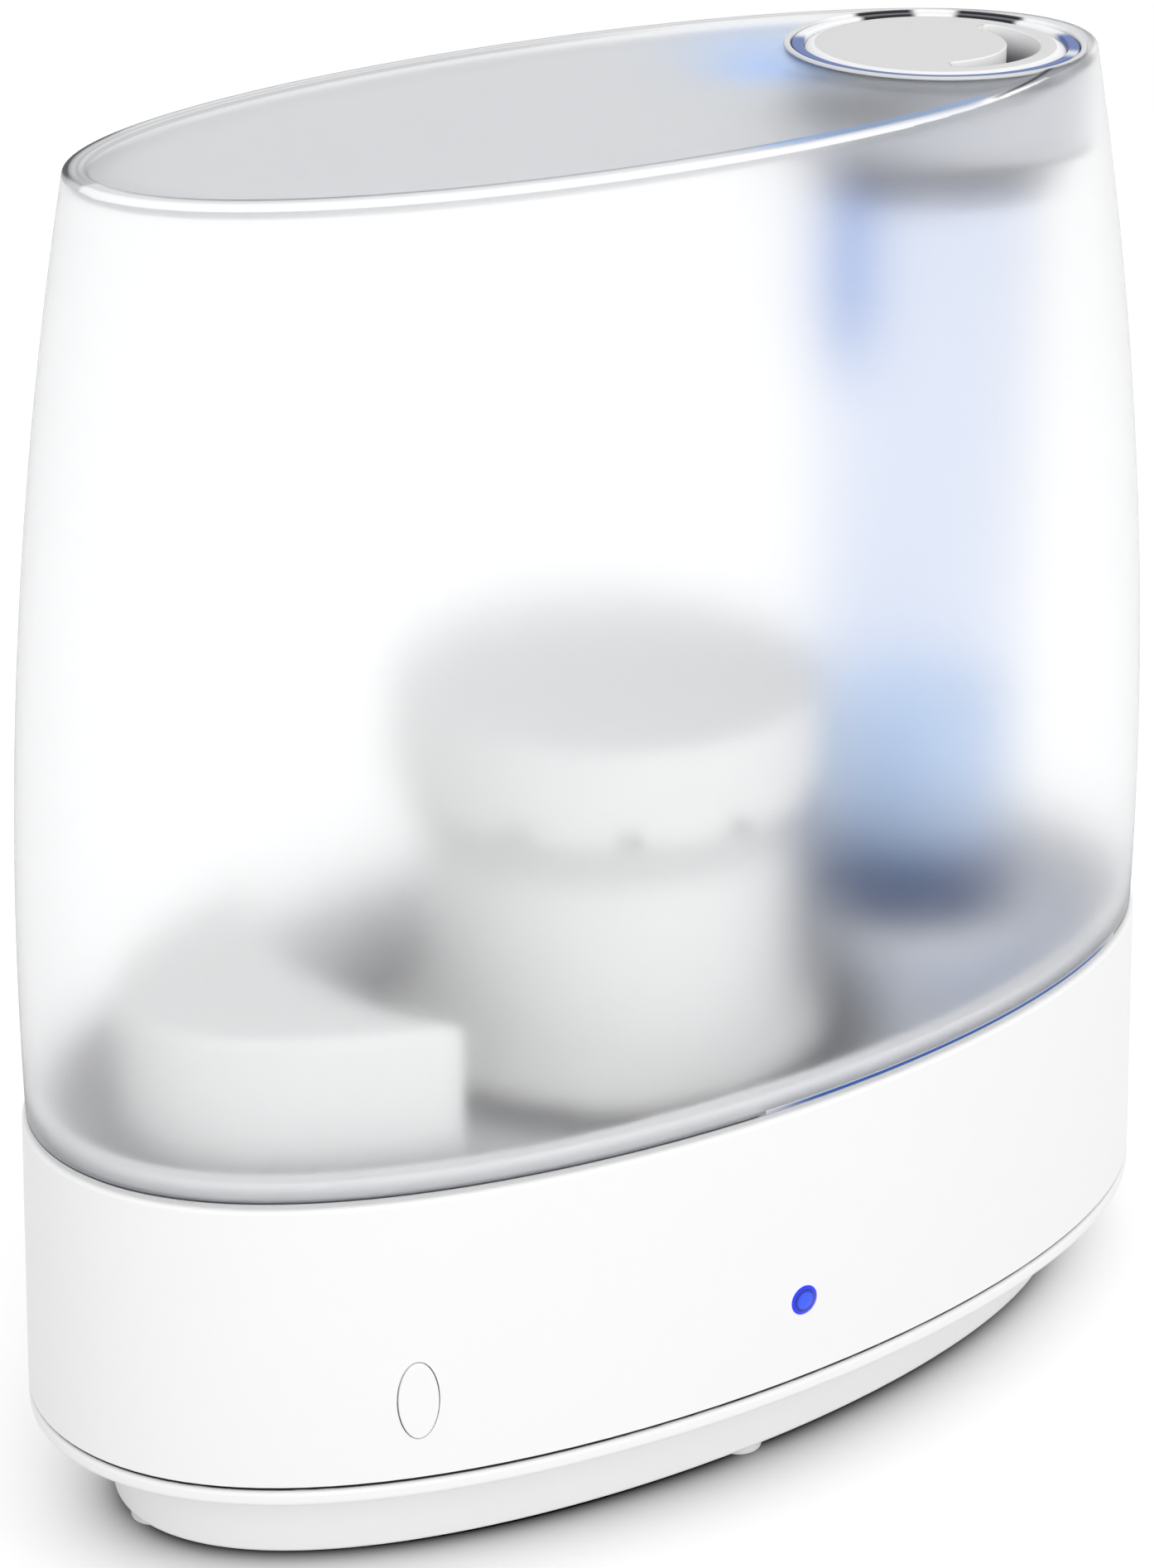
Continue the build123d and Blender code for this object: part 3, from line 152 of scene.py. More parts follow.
class NodePad:
    """A node tree with one method that adds any node."""

    def __init__(self, tree: bpy.types.NodeTree) -> None:
        """Empty the tree and keep it."""
        self.tree = tree
        tree.nodes.clear()

    def node(self, kind: str, settings: dict | None = None, values: dict | None = None) -> bpy.types.Node:
        """Add a node, set it and feed its inputs.

        Args:
            kind: Blender's type name of the node.
            settings: properties of the node.
            values: inputs by name or number: a Signal, an output socket, a number or a colour.

        Returns:
            The new node.
        """
        node = self.tree.nodes.new(kind)
        for name, value in (settings or {}).items():
            setattr(node, name, value)
        for name, value in (values or {}).items():
            self.feed(node.inputs[name], value)
        return node

    def feed(self, socket: bpy.types.NodeSocket, value: object) -> None:
        """Link a Signal or socket to an input, or set the input's own value.

        Args:
            socket: the input.
            value: a Signal, an output socket, a number or a colour.
        """
        if isinstance(value, Signal):
            self.tree.links.new(value.socket, socket)
        elif isinstance(value, bpy.types.NodeSocket):
            self.tree.links.new(value, socket)
        elif isinstance(value, tuple) and socket.type == "RGBA" and len(value) == 3:
            socket.default_value = (*value, 1.0)
        else:
            socket.default_value = value

    def place(self) -> bpy.types.NodeSocket:
        """Object coordinates, in metres."""
        return self.node("ShaderNodeTexCoord").outputs["Object"]

    def axes(self) -> tuple[Signal, Signal, Signal]:
        """Object coordinates as three Signals."""
        parts = self.node("ShaderNodeSeparateXYZ", None, {"Vector": self.place()})
        return tuple(Signal(self, parts.outputs[name]) for name in "XYZ")

    def attribute(self, name: str) -> Signal:
        """A number that the piece's own mesh stores at its points."""
        node = self.node("ShaderNodeAttribute", {"attribute_name": name})
        return Signal(self, node.outputs["Fac"])

    def noise(self, size: float, detail: float = 2.0, stretch: Point = (1.0, 1.0, 1.0)) -> Signal:
        """Noise on Object coordinates.

        Args:
            size: length of one patch, in metres.
            detail: octaves of finer noise.
            stretch: scale of the pattern along each axis.

        Returns:
            The noise, from 0 to 1.
        """
        mapping = self.node("ShaderNodeMapping", None, {"Vector": self.place(), "Scale": stretch})
        values = {"Vector": mapping.outputs["Vector"], "Scale": 1.0 / size, "Detail": detail}
        return Signal(self, self.node("ShaderNodeTexNoise", None, values).outputs["Fac"])

    def cells(self, size: float, feature: str = "F1") -> Signal:
        """Distances in a pattern of cells on Object coordinates.

        Args:
            size: length of one cell, in metres.
            feature: Blender's name of what the distance is measured to.

        Returns:
            The distance, as a share of a cell.
        """
        values = {"Vector": self.place(), "Scale": 1 / size}
        node = self.node("ShaderNodeTexVoronoi", {"feature": feature}, values)
        return Signal(self, node.outputs["Distance"])

    def blend(self, share: Signal, first: object, second: object) -> bpy.types.NodeSocket:
        """Mix two colours.

        Args:
            share: 0 gives the first colour, 1 the second.
            first: a colour or a colour socket.
            second: a colour or a colour socket.

        Returns:
            The mixed colour's socket.
        """
        node = self.node("ShaderNodeMix", {"data_type": "RGBA"}, {"Factor": share})
        self.feed(node.inputs[6], first)
        self.feed(node.inputs[7], second)
        return node.outputs[2]

    def with_painted_light(self, colour: object, glow: Colour, shade: Colour) -> bpy.types.NodeSocket:
        """Colour with the painted light and painted shade that the piece's own attribute holds.

        Args:
            colour: a colour or a colour socket, where the attribute is 0.
            glow: the painted light's colour, where the attribute is 1.
            shade: the painted shade's colour, where the attribute is -1.

        Returns:
            The colour's socket, with painted light and painted shade.
        """
        # The attribute holds painted light above 0 and painted shade below 0.
        painted_light = self.attribute("painted_light")
        lit = self.blend(painted_light.step(0.0, 1.0), colour, glow)
        return self.blend(painted_light.step(0.0, -1.0), lit, shade)

    def bump(self, height: Signal, depth: float) -> bpy.types.NodeSocket:
        """Bumped normal from a relief of 0 to 1 and its depth in metres."""
        values = {"Height": height, "Distance": depth, "Strength": 1.0}
        return self.node("ShaderNodeBump", None, values).outputs["Normal"]

    def finish(self, shader: bpy.types.NodeSocket) -> None:
        """Link a shader to the material's output."""
        self.node("ShaderNodeOutputMaterial", None, {"Surface": shader})


# Finishes


def scaled(colour: Colour, factor: float) -> Colour:
    """A colour with each of its parts times a factor."""
    return tuple(factor * part for part in colour)


@dataclass(frozen=True)
class Finish:
    """What every finish has: a name, a colour and the inputs of its shader."""

    name: str
    colour: Colour

    def values(self, pad: NodePad) -> dict:
        """Inputs of the finish's shader, by name."""
        raise NotImplementedError

    def make(self) -> bpy.types.Material:
        """Build the material.

        Returns:
            The new material.
        """
        material = bpy.data.materials.new(self.name)
        material.use_nodes = True
        material.diffuse_color = (*self.colour, 1.0)
        pad = NodePad(material.node_tree)
        shader = pad.node("ShaderNodeBsdfPrincipled", None, self.values(pad))
        pad.finish(shader.outputs["BSDF"])
        return material


@dataclass(frozen=True)
class MouldedPlastic(Finish):
    """Opaque moulded plastic: a fine spark texture, slight clouds in its gloss and its tone."""

    roughness: float = 0.38
    grain: float = 0.6 * MM
    relief: float = 0.012 * MM
    cloud: float = 60 * MM
    shade: float = 0.985
    cloud_gloss: float = 0.06
    grain_gloss: float = 0.05

    def paint(self, pad: NodePad) -> bpy.types.NodeSocket:
        """Colour with slight clouds in its tone."""
        return pad.blend(pad.noise(self.cloud), scaled(self.colour, self.shade), self.colour)

    def values(self, pad: NodePad) -> dict:
        """Inputs of the shader: the paint, a roughness with clouds and grain, and the grain's relief.

        Args:
            pad: the material's nodes.

        Returns:
            The inputs by name.
        """
        grain = pad.noise(self.grain, detail=3.0)
        gloss = self.cloud_gloss * (pad.noise(self.cloud) - 0.5) + self.grain_gloss * (grain - 0.5)
        return {
            "Base Color": self.paint(pad),
            "Roughness": self.roughness + gloss,
            "Normal": pad.bump(grain, self.relief),
        }


@dataclass(frozen=True)
class ShellPlastic(MouldedPlastic):
    """Moulded plastic of the base, with painted shade inside the groove between the skirt and the rim."""

    # groove: heights of the groove; dark: the painted shade inside it.
    groove: Pair = (29.43 * MM, 30.6 * MM)
    dark: Colour = (0.035, 0.035, 0.036)
    blur: float = 0.05 * MM

    def paint(self, pad: NodePad) -> bpy.types.NodeSocket:
        """Cloudy colour, and painted shade in the groove between two heights.

        Args:
            pad: the material's nodes.

        Returns:
            The colour's socket.
        """
        _, _, up = pad.axes()
        low, high = self.groove
        inside = up.step(low - self.blur, low + self.blur) * up.step(high + self.blur, high - self.blur)
        return pad.blend(inside, super().paint(pad), self.dark)


@dataclass(frozen=True)
class FloorPlastic(MouldedPlastic):
    """Tank floor: pale pocket, greyer flat with painted blue light to the right and painted shade round the
    pot's foot, and a pale lap at the wall.
    """

    cloud_gloss: float = 0.0
    flat: Colour = (0.62, 0.625, 0.635)
    # flat_right over right_span: painted blue light on the flat towards the lit collar.
    flat_right: Colour = (0.57, 0.62, 0.74)
    right_span: Pair = (20 * MM, 90 * MM)
    lap: Colour = (0.8, 0.8, 0.81)
    lap_span: Pair = (0.95, 1.0)
    # foot_shade, fading out over pot_shade: painted shade on the flat around the pot's foot.
    foot_shade: float = 0.02
    height: float = 94 * MM
    height_blur: float = 1 * MM
    half_length: float = 139 * MM
    half_width: float = 66 * MM
    pot_radius: float = 43 * MM
    pot_shade: Pair = (7 * MM, 30 * MM)

    def paint(self, pad: NodePad) -> bpy.types.NodeSocket:
        """Flat's colour, bluer to the right with painted light and darker by distance from the pot with
        painted shade, and the pocket's colour by height.

        Args:
            pad: the material's nodes.

        Returns:
            The colour's socket.
        """
        x, y, up = pad.axes()
        across = (x / self.half_length) ** 2 + (y / self.half_width) ** 2
        away = (x * x + y * y) ** 0.5
        dark_to, clear_from = (self.pot_radius + width for width in self.pot_shade)
        # The flat turns bluer to the right with painted blue light, and darker near the pot with painted
        # shade.
        flat = pad.blend(x.step(*self.right_span), self.flat, self.flat_right)
        shaded = pad.blend(away.step(clear_from, dark_to), flat, scaled(self.flat, self.foot_shade))
        raised = up.step(self.height - self.height_blur, self.height + self.height_blur)
        return pad.blend(across.step(*self.lap_span), pad.blend(raised, shaded, self.colour), self.lap)


@dataclass(frozen=True)
class PlatePlastic(MouldedPlastic):
    """Moulded plastic with painted shade that makes its flat top plate greyer and darkens the wall around the
    chute under it.
    """

    cloud_gloss: float = 0.0
    # plate: painted shade on the flat top, greyer than the white bevel and skirt; deep: painted shade on the
    # chute's wall.
    plate: Colour = (0.7, 0.7, 0.7)
    deep: Colour = (0.16, 0.16, 0.17)
    level: float = 308 * MM
    blur: float = 0.12 * MM
    centre: Pair = (90 * MM, 0.0)
    chute: Pair = (22.3 * MM, 24.3 * MM)
    chute_blur: Pair = (0.5 * MM, 0.3 * MM)
    chute_lip: float = 0.6 * MM
    chute_depth: float = 8 * MM

    def paint(self, pad: NodePad) -> bpy.types.NodeSocket:
        """Plate's grey of painted shade above its level, and below it painted shade on the chute's wall by
        distance from the axis and by depth.

        Args:
            pad: the material's nodes.

        Returns:
            The colour's socket.
        """
        x, y, up = pad.axes()
        out = ((x - self.centre[0]) ** 2 + (y - self.centre[1]) ** 2) ** 0.5
        (inner, outer), (inner_blur, outer_blur) = self.chute, self.chute_blur
        ring = out.step(inner - inner_blur, inner) * out.step(outer + outer_blur, outer)
        sunk = up.step(self.level - self.chute_lip, self.level - self.chute_depth)
        # Painted shade on the chute's wall, and the plate's grey painted shade on top.
        edges = pad.blend(ring * sunk, self.colour, self.deep)
        return pad.blend(up.step(self.level - self.blur, self.level), edges, self.plate)


@dataclass(frozen=True)
class FrostedPlastic(Finish):
    """Frosted plastic that lets blurred shapes through.

    The tone attribute takes it from the wall's colour to the panel's grey, which is painted shade,
    and a second attribute adds painted blue light, which also glows, and painted shade. The low
    index keeps the wall bright, because a rough surface with a high one loses light at each crossing.
    """

    # panel: the grey of painted shade on the top panel; glow: painted blue light; shade: painted shade.
    panel: Colour = (0.8, 0.81, 0.82)
    glow: Colour = (0.32, 0.54, 0.95)
    shade: Colour = (0.02, 0.02, 0.025)
    roughness: float = 0.56
    cloud: float = 40 * MM
    cloud_gloss: float = 0.03
    grain: float = 0.35 * MM
    relief: float = 0.002 * MM
    ior: float = 1.12
    # The painted blue light glows by this strength, though the tank is no lamp.
    strength: float = 0.11

    def values(self, pad: NodePad) -> dict:
        """Inputs of the shader.

        Args:
            pad: the material's nodes.

        Returns:
            The inputs by name.
        """
        toned = pad.blend(pad.attribute("tone"), self.colour, self.panel)
        # lit: where the painted blue light also glows.
        lit = pad.attribute("painted_light").step(0.0, 1.0)
        return {
            "Base Color": pad.with_painted_light(toned, self.glow, self.shade),
            "Roughness": self.roughness + self.cloud_gloss * (pad.noise(self.cloud) - 0.5),
            "Normal": pad.bump(pad.noise(self.grain), self.relief),
            "Transmission Weight": 1.0,
            "IOR": self.ior,
            "Emission Color": pad.blend(lit, BLACK, self.glow),
            "Emission Strength": self.strength,
        }


@dataclass(frozen=True)
class ClearPlastic(Finish):
    """Clear polished plastic with painted light and painted shade where the mesh's attribute of them says so.
    """

    # glow: painted blue light; shade: painted shade and dark painted reflections.
    glow: Colour = (0.2, 0.36, 0.75)
    shade: Colour = (0.01, 0.012, 0.02)
    roughness: float = 0.05
    smear: float = 18 * MM
    smear_gloss: float = 0.04
    ior: float = 1.4

    def values(self, pad: NodePad) -> dict:
        """Inputs of the shader.

        Args:
            pad: the material's nodes.

        Returns:
            The inputs by name.
        """
        return {
            "Base Color": pad.with_painted_light(self.colour, self.glow, self.shade),
            "Roughness": self.roughness + self.smear_gloss * pad.noise(self.smear, detail=3.0),
            "Transmission Weight": 1.0,
            "IOR": self.ior,
        }


@dataclass(frozen=True)
class RimPlastic(Finish):
    """Polished solid edge of a see-through part.

    The tone attribute takes it from white to the panel's grey of painted shade, and a second
    attribute adds painted blue light, painted shade and dark painted reflections.
    """

    # panel: the grey of painted shade; glow: painted blue light; shade: painted shade and dark painted
    # reflections.
    panel: Colour = (0.68, 0.685, 0.69)
    glow: Colour = (0.012, 0.085, 0.36)
    shade: Colour = (0.012, 0.014, 0.02)
    roughness: float = 0.3
    smear: float = 18 * MM
    smear_gloss: float = 0.08
    specular: float = 0.25

    def values(self, pad: NodePad) -> dict:
        """Inputs of the shader.

        Args:
            pad: the material's nodes.

        Returns:
            The inputs by name.
        """
        toned = pad.blend(pad.attribute("tone"), self.colour, self.panel)
        return {
            "Base Color": pad.with_painted_light(toned, self.glow, self.shade),
            "Roughness": self.roughness + self.smear_gloss * (pad.noise(self.smear, detail=3.0) - 0.5),
            "Specular IOR Level": self.specular,
        }


@dataclass(frozen=True)
class CollarPlastic(Finish):
    """Tinted see-through tube with painted blue light in it, darker deep blue at its foot with painted shade,
    and pale above.
    """

    # foot below dark_below: painted shade; foot_light, light and strength: painted light, as the tube is no
    # lamp.
    foot: Colour = (0.005, 0.025, 0.14)
    foot_light: Colour = (0.0, 0.16, 0.5)
    light: Colour = (0.6, 0.8, 1.0)
    dark_below: float = 109 * MM
    pale_above: float = 126 * MM
    strength: float = 0.14
    roughness: float = 0.25
    haze: float = 9 * MM
    haze_gloss: float = 0.1
    clearness: float = 0.6
    ior: float = 1.35

    def values(self, pad: NodePad) -> dict:
        """Inputs of the shader, whose colour and painted light change by height, with painted shade at the
        foot.

        Args:
            pad: the material's nodes.

        Returns:
            The inputs by name.
        """
        _, _, up = pad.axes()
        # Painted shade at the foot, and painted light that glows in the tube above it.
        pale = up.step(self.dark_below, self.pale_above)
        return {
            "Base Color": pad.blend(pale, self.foot, self.colour),
            "Roughness": self.roughness + self.haze_gloss * pad.noise(self.haze),
            "Transmission Weight": self.clearness,
            "IOR": self.ior,
            "Emission Color": pad.blend(pale, self.foot_light, self.light),
            "Emission Strength": self.strength,
        }


@dataclass(frozen=True)
class LensPlastic(Finish):
    """Domed lens, lit around its middle, with a darker ring before its bright edge."""

    centre: Point = (0.0, 0.0, 0.0)
    radius: float = 3.5 * MM
    core: Colour = (0.02, 0.09, 0.95)
    ring: Colour = (0.0, 0.004, 0.2)
    ring_span: Pair = (0.5, 0.72)
    edge: Colour = (0.0, 0.02, 0.8)
    edge_span: Pair = (0.74, 0.9)
    strength: float = 1.0
    roughness: float = 0.12
    smear: float = 1.5 * MM
    smear_gloss: float = 0.05

    def values(self, pad: NodePad) -> dict:
        """Inputs of the shader, whose light changes by the distance from the middle over the radius.

        Args:
            pad: the material's nodes.

        Returns:
            The inputs by name.
        """
        ends = {0: pad.place(), 1: self.centre}
        distance = pad.node("ShaderNodeVectorMath", {"operation": "DISTANCE"}, ends)
        out = Signal(pad, distance.outputs["Value"]) / self.radius
        inner = pad.blend(out.step(*self.ring_span), self.core, self.ring)
        return {
            "Base Color": self.colour,
            "Roughness": self.roughness + self.smear_gloss * pad.noise(self.smear),
            "Emission Color": pad.blend(out.step(*self.edge_span), inner, self.edge),
            "Emission Strength": self.strength,
        }


@dataclass(frozen=True)
class SoftRubber(Finish):
    """Matt rubber with a dusty bloom and a fine tooth."""

    roughness: float = 0.75
    dust: float = 4 * MM
    bloom: Pair = (1.12, 0.02)
    tooth: float = 0.3 * MM
    tooth_gloss: float = 0.15
    relief: float = 0.03 * MM

    def values(self, pad: NodePad) -> dict:
        """Inputs of the shader.

        Args:
            pad: the material's nodes.

        Returns:
            The inputs by name.
        """
        tooth = pad.noise(self.tooth)
        gain, lift = self.bloom
        dusty = tuple(min(1.0, gain * part + lift) for part in self.colour)
        return {
            "Base Color": pad.blend(pad.noise(self.dust, detail=4.0), self.colour, dusty),
            "Roughness": self.roughness + self.tooth_gloss * (tooth - 0.5),
            "Normal": pad.bump(tooth, self.relief),
        }


@dataclass(frozen=True)
class DrawnMetal(Finish):
    """Metal with fine drawing lines along one axis and a little tarnish."""

    roughness: float = 0.32
    stretch: Point = (1.0, 1.0, 0.04)
    line_width: float = 0.25 * MM
    relief: float = 0.01 * MM
    tarnish: float = 7 * MM
    tarnish_span: Pair = (0.45, 0.8)
    dull: float = 0.72
    line_gloss: float = 0.18
    tarnish_gloss: float = 0.1

    def values(self, pad: NodePad) -> dict:
        """Inputs of the shader.

        Args:
            pad: the material's nodes.

        Returns:
            The inputs by name.
        """
        lines = pad.noise(self.line_width, stretch=self.stretch)
        tarnish = pad.noise(self.tarnish, detail=4.0)
        dull = scaled(self.colour, self.dull)
        return {
            "Base Color": pad.blend(tarnish.step(*self.tarnish_span), self.colour, dull),
            "Metallic": 1.0,
            "Roughness": self.roughness + self.line_gloss * lines + self.tarnish_gloss * tarnish,
            "Normal": pad.bump(lines, self.relief),
        }


@dataclass(frozen=True)
class CircuitBoard(Finish):
    """Lacquered board: darker copper tracks under the lacquer, and small tinned pads."""

    track: Colour = (0.05, 0.2, 0.09)
    track_cell: float = 4 * MM
    track_span: Pair = (0.05, 0.09)
    track_rise: float = 0.4
    tin: Colour = (0.62, 0.62, 0.58)
    tin_cell: float = 5 * MM
    tin_span: Pair = (0.2, 0.16)
    tin_metal: float = 0.8
    tin_gloss: float = 0.1
    roughness: float = 0.35
    relief: float = 0.05 * MM

    def values(self, pad: NodePad) -> dict:
        """Inputs of the shader. Tracks lie along the edges of cells, and pads in the middle of others.

        Args:
            pad: the material's nodes.

        Returns:
            The inputs by name.
        """
        gap = pad.cells(self.track_cell, "DISTANCE_TO_EDGE").step(*self.track_span)
        pads = pad.cells(self.tin_cell).step(*self.tin_span)
        lacquer = pad.blend(gap, self.track, self.colour)
        return {
            "Base Color": pad.blend(pads, lacquer, self.tin),
            "Metallic": pads * self.tin_metal,
            "Roughness": self.roughness - self.tin_gloss * pads,
            "Normal": pad.bump(pads + self.track_rise * (1 - gap), self.relief),
        }


@dataclass(frozen=True)
class WoundWire(Finish):
    """Layers of enamelled wire: fine ridges up the winding.

    The ridges are a wave texture, whose waves in a metre are its scale over 0.3142.
    """

    pitch: float = 0.6 * MM
    waves: float = 0.3142
    gap_shade: float = 0.5
    tape: float = 10 * MM
    metal: float = 0.6
    tape_metal: float = 0.3
    roughness: float = 0.38
    tape_gloss: float = 0.1
    relief: float = 0.15 * MM

    def values(self, pad: NodePad) -> dict:
        """Inputs of the shader.

        Args:
            pad: the material's nodes.

        Returns:
            The inputs by name.
        """
        values = {"Vector": pad.place(), "Scale": self.waves / self.pitch}
        turns = pad.node("ShaderNodeTexWave", {"bands_direction": "Z"}, values)
        ridge = Signal(pad, turns.outputs["Fac"])
        tape = pad.noise(self.tape)
        return {
            "Base Color": pad.blend(ridge, scaled(self.colour, self.gap_shade), self.colour),
            "Metallic": self.metal + self.tape_metal * tape,
            "Roughness": self.roughness + self.tape_gloss * tape,
            "Normal": pad.bump(ridge, self.relief),
        }


@dataclass(frozen=True)
class ResinBeads(Finish):
    """Packed beads of resin."""

    bead: float = 1.2 * MM
    dome: Pair = (0.6, 0.0)
    gap_shade: float = 0.35
    tone: float = 3 * MM
    least_tone: float = 0.6
    roughness: float = 0.28
    tone_gloss: float = 0.2
    relief: float = 0.5 * MM

    def values(self, pad: NodePad) -> dict:
        """Inputs of the shader.

        Args:
            pad: the material's nodes.

        Returns:
            The inputs by name.
        """
        dome = pad.cells(self.bead).step(*self.dome)
        tone = pad.noise(self.tone)
        lit = dome * (self.least_tone + (1 - self.least_tone) * tone)
        return {
            "Base Color": pad.blend(lit, scaled(self.colour, self.gap_shade), self.colour),
            "Roughness": self.roughness + self.tone_gloss * tone,
            "Normal": pad.bump(dome, self.relief),
        }


# Surfaces


def grid_faces(rows: int, columns: int, wrap_rows: bool, wrap_columns: bool) -> np.ndarray:
    """Corner numbers of the quads of a grid of points.

    Point (i, j) has number i * columns + j. Each quad joins (i, j), (i, j+1), (i+1, j+1)
    and (i+1, j), and a wrapped direction joins its last line to its first.

    Args:
        rows: lines of the grid.
        columns: points in a line.
        wrap_rows: whether the last line joins the first.
        wrap_columns: whether each line closes on itself.

    Returns:
        An array of four corner numbers for each quad.
    """
    i, j = np.meshgrid(
        np.arange(rows if wrap_rows else rows - 1),
        np.arange(columns if wrap_columns else columns - 1),
        indexing="ij",
    )
    below, right = (i + 1) % rows, (j + 1) % columns
    quads = [i * columns + j, i * columns + right, below * columns + right, below * columns + j]
    return np.stack(quads, axis=-1).reshape(-1, 4)


def mesh_piece(name: str, points: np.ndarray, *groups: np.ndarray) -> bpy.types.Object:
    """Make a smooth shaded mesh object from arrays.

    Args:
        name: the piece's name.
        points: an array of three coordinates for each point.
        groups: arrays of the corner numbers of each face, all of one size in a group.

    Returns:
        The new object, linked to the scene.
    """
    mesh = bpy.data.meshes.new(name)
    corners = np.concatenate([group.ravel() for group in groups])
    sizes = np.concatenate([np.full(len(group), group.shape[1]) for group in groups])
    mesh.vertices.add(len(points))
    mesh.vertices.foreach_set("co", np.ascontiguousarray(points, np.float32).ravel())
    mesh.loops.add(len(corners))
    mesh.loops.foreach_set("vertex_index", corners.astype(np.int32))
    mesh.polygons.add(len(sizes))
    mesh.polygons.foreach_set("loop_start", (np.cumsum(sizes) - sizes).astype(np.int32))
    mesh.polygons.foreach_set("use_smooth", np.ones(len(sizes), bool))
    mesh.update(calc_edges=True)
    mesh.validate()
    piece = bpy.data.objects.new(name, mesh)
    bpy.context.scene.collection.objects.link(piece)
    return piece


def store(piece: bpy.types.Object, name: str, values: np.ndarray) -> None:
    """Store a number for each point of a mesh as an attribute."""
    attribute = piece.data.attributes.new(name, "FLOAT", "POINT")
    attribute.data.foreach_set("value", np.ascontiguousarray(values, np.float32).ravel())


def soften(piece: bpy.types.Object, width: float, top: float, angle: float = 35.0) -> bpy.types.Object:
    """Round a piece's sharp edges, with no point above its top.

    Args:
        piece: the piece.
        width: how wide the rounding is.
        top: height that the rounding may not pass, as it would at a sharp tip.
        angle: edges that turn by more than this, in degrees, are rounded.

    Returns:
        The same piece.
    """
    bevel = piece.modifiers.new("soft_edges", "BEVEL")
    bevel.width = width
    bevel.segments = BEVEL_SEGMENTS
    bevel.limit_method = "ANGLE"
    bevel.angle_limit = math.radians(angle)
    rounded = bpy.data.meshes.new_from_object(piece.evaluated_get(bpy.context.evaluated_depsgraph_get()))
    points = np.empty(3 * len(rounded.vertices), np.float32)
    rounded.vertices.foreach_get("co", points)
    points[2::3] = np.minimum(points[2::3], top)
    rounded.vertices.foreach_set("co", points)
    piece.modifiers.clear()
    piece.data = rounded
    piece.modifiers.new("even_shading", "WEIGHTED_NORMAL")
    return piece


def bump_between(values: np.ndarray, start: float, end: float, soft: float) -> np.ndarray:
    """1 between two values, falling smoothly to 0 over a soft margin outside them."""
    outside = np.maximum(np.maximum(start - values, values - end), 0)
    return np.exp(-((outside / soft) ** 2))


def bumps(values: np.ndarray, spans: tuple[Pair, ...], soft: float) -> np.ndarray:
    """Sum of the bumps between the two values of each span."""
    return sum(bump_between(values, *span, soft) for span in spans)


def arc(centre: Pair, radius: float, start: float, end: float, count: int) -> np.ndarray:
    """Points of a circle's arc in a profile plane.

    Point = centre + radius * (cos turn, sin turn), with the turn in even steps.

    Args:
        centre: the arc's centre (out, up).
        radius: its radius.
        start: first turn in degrees.
        end: last turn in degrees.
        count: how many points.

    Returns:
        An array of (out, up) points.
    """
    turn = np.radians(np.linspace(start, end, count))
    return np.stack([centre[0] + radius * np.cos(turn), centre[1] + radius * np.sin(turn)], axis=-1)


def runs(corners: list[Pair], counts: tuple[int, ...]) -> np.ndarray:
    """Even points on the straight lines from corner to corner, a count of them on each line."""
    return np.concatenate([np.linspace(*ends) for ends in zip(corners, corners[1:], counts)])


@dataclass(frozen=True)
class Oval:
    """Core ellipse of the body, whose parallel curves are all its ovals."""

    a: float
    b: float

    def at(self, reach: np.ndarray, height: np.ndarray, turn: np.ndarray) -> np.ndarray:
        """Points of parallel curves of the ellipse.

        With n the unit outward normal, (b cos t, a sin t) over its own length, a point is
        (a cos t, b sin t) + reach * n, at the height.

        Args:
            reach: distances outside the core ellipse.
            height: heights, in the same shape.
            turn: parameter angles t in radians, in the same shape.

        Returns:
            An array of points with a last axis of three.
        """
        nx, ny = self.b * np.cos(turn), self.a * np.sin(turn)
        length = np.hypot(nx, ny)
        x = self.a * np.cos(turn) + reach * nx / length
        y = self.b * np.sin(turn) + reach * ny / length
        return np.stack([x, y, height + 0 * x], axis=-1)


def turned_points(profile: np.ndarray, centre: Pair, columns: int) -> np.ndarray:
    """Points of a profile turned about an upright axis.

    Point = centre + out * (cos t, sin t), at the profile's height, for even turns t.

    Args:
        profile: an array of (out, up) points.
        centre: plan point of the axis.
        columns: points around the axis.

    Returns:
        A grid of points, a line for each profile point.
    """
    turn = np.linspace(0, 2 * np.pi, columns, endpoint=False)
    out, up = profile[:, :1], profile[:, 1:]
    x, y = centre[0] + out * np.cos(turn), centre[1] + out * np.sin(turn)
    return np.stack([x, y, up + 0 * x], axis=-1)


def turned_ring(name: str, profile: np.ndarray, centre: Pair, columns: int) -> bpy.types.Object:
    """A closed ring from a closed profile that runs anticlockwise, seen with out to the right.

    Args:
        name: the piece's name.
        profile: an array of (out, up) points, without a repeated end.
        centre: plan point of the axis.
        columns: points around the axis.

    Returns:
        The new object.
    """
    points = turned_points(profile, centre, columns)
    faces = grid_faces(len(profile), columns, True, True)
    return mesh_piece(name, points.reshape(-1, 3), faces)


def closed_profile(*parts: np.ndarray) -> np.ndarray:
    """Join the parts of a profile into one closed line and drop points that repeat.

    Args:
        parts: arrays of (out, up) points, in order.

    Returns:
        The line's points, without a repeated end.
    """
    points = np.concatenate(parts)
    keep = np.linalg.norm(points - np.roll(points, 1, axis=0), axis=1) > SAME_POINT
    return points[keep]


# Sub-assemblies


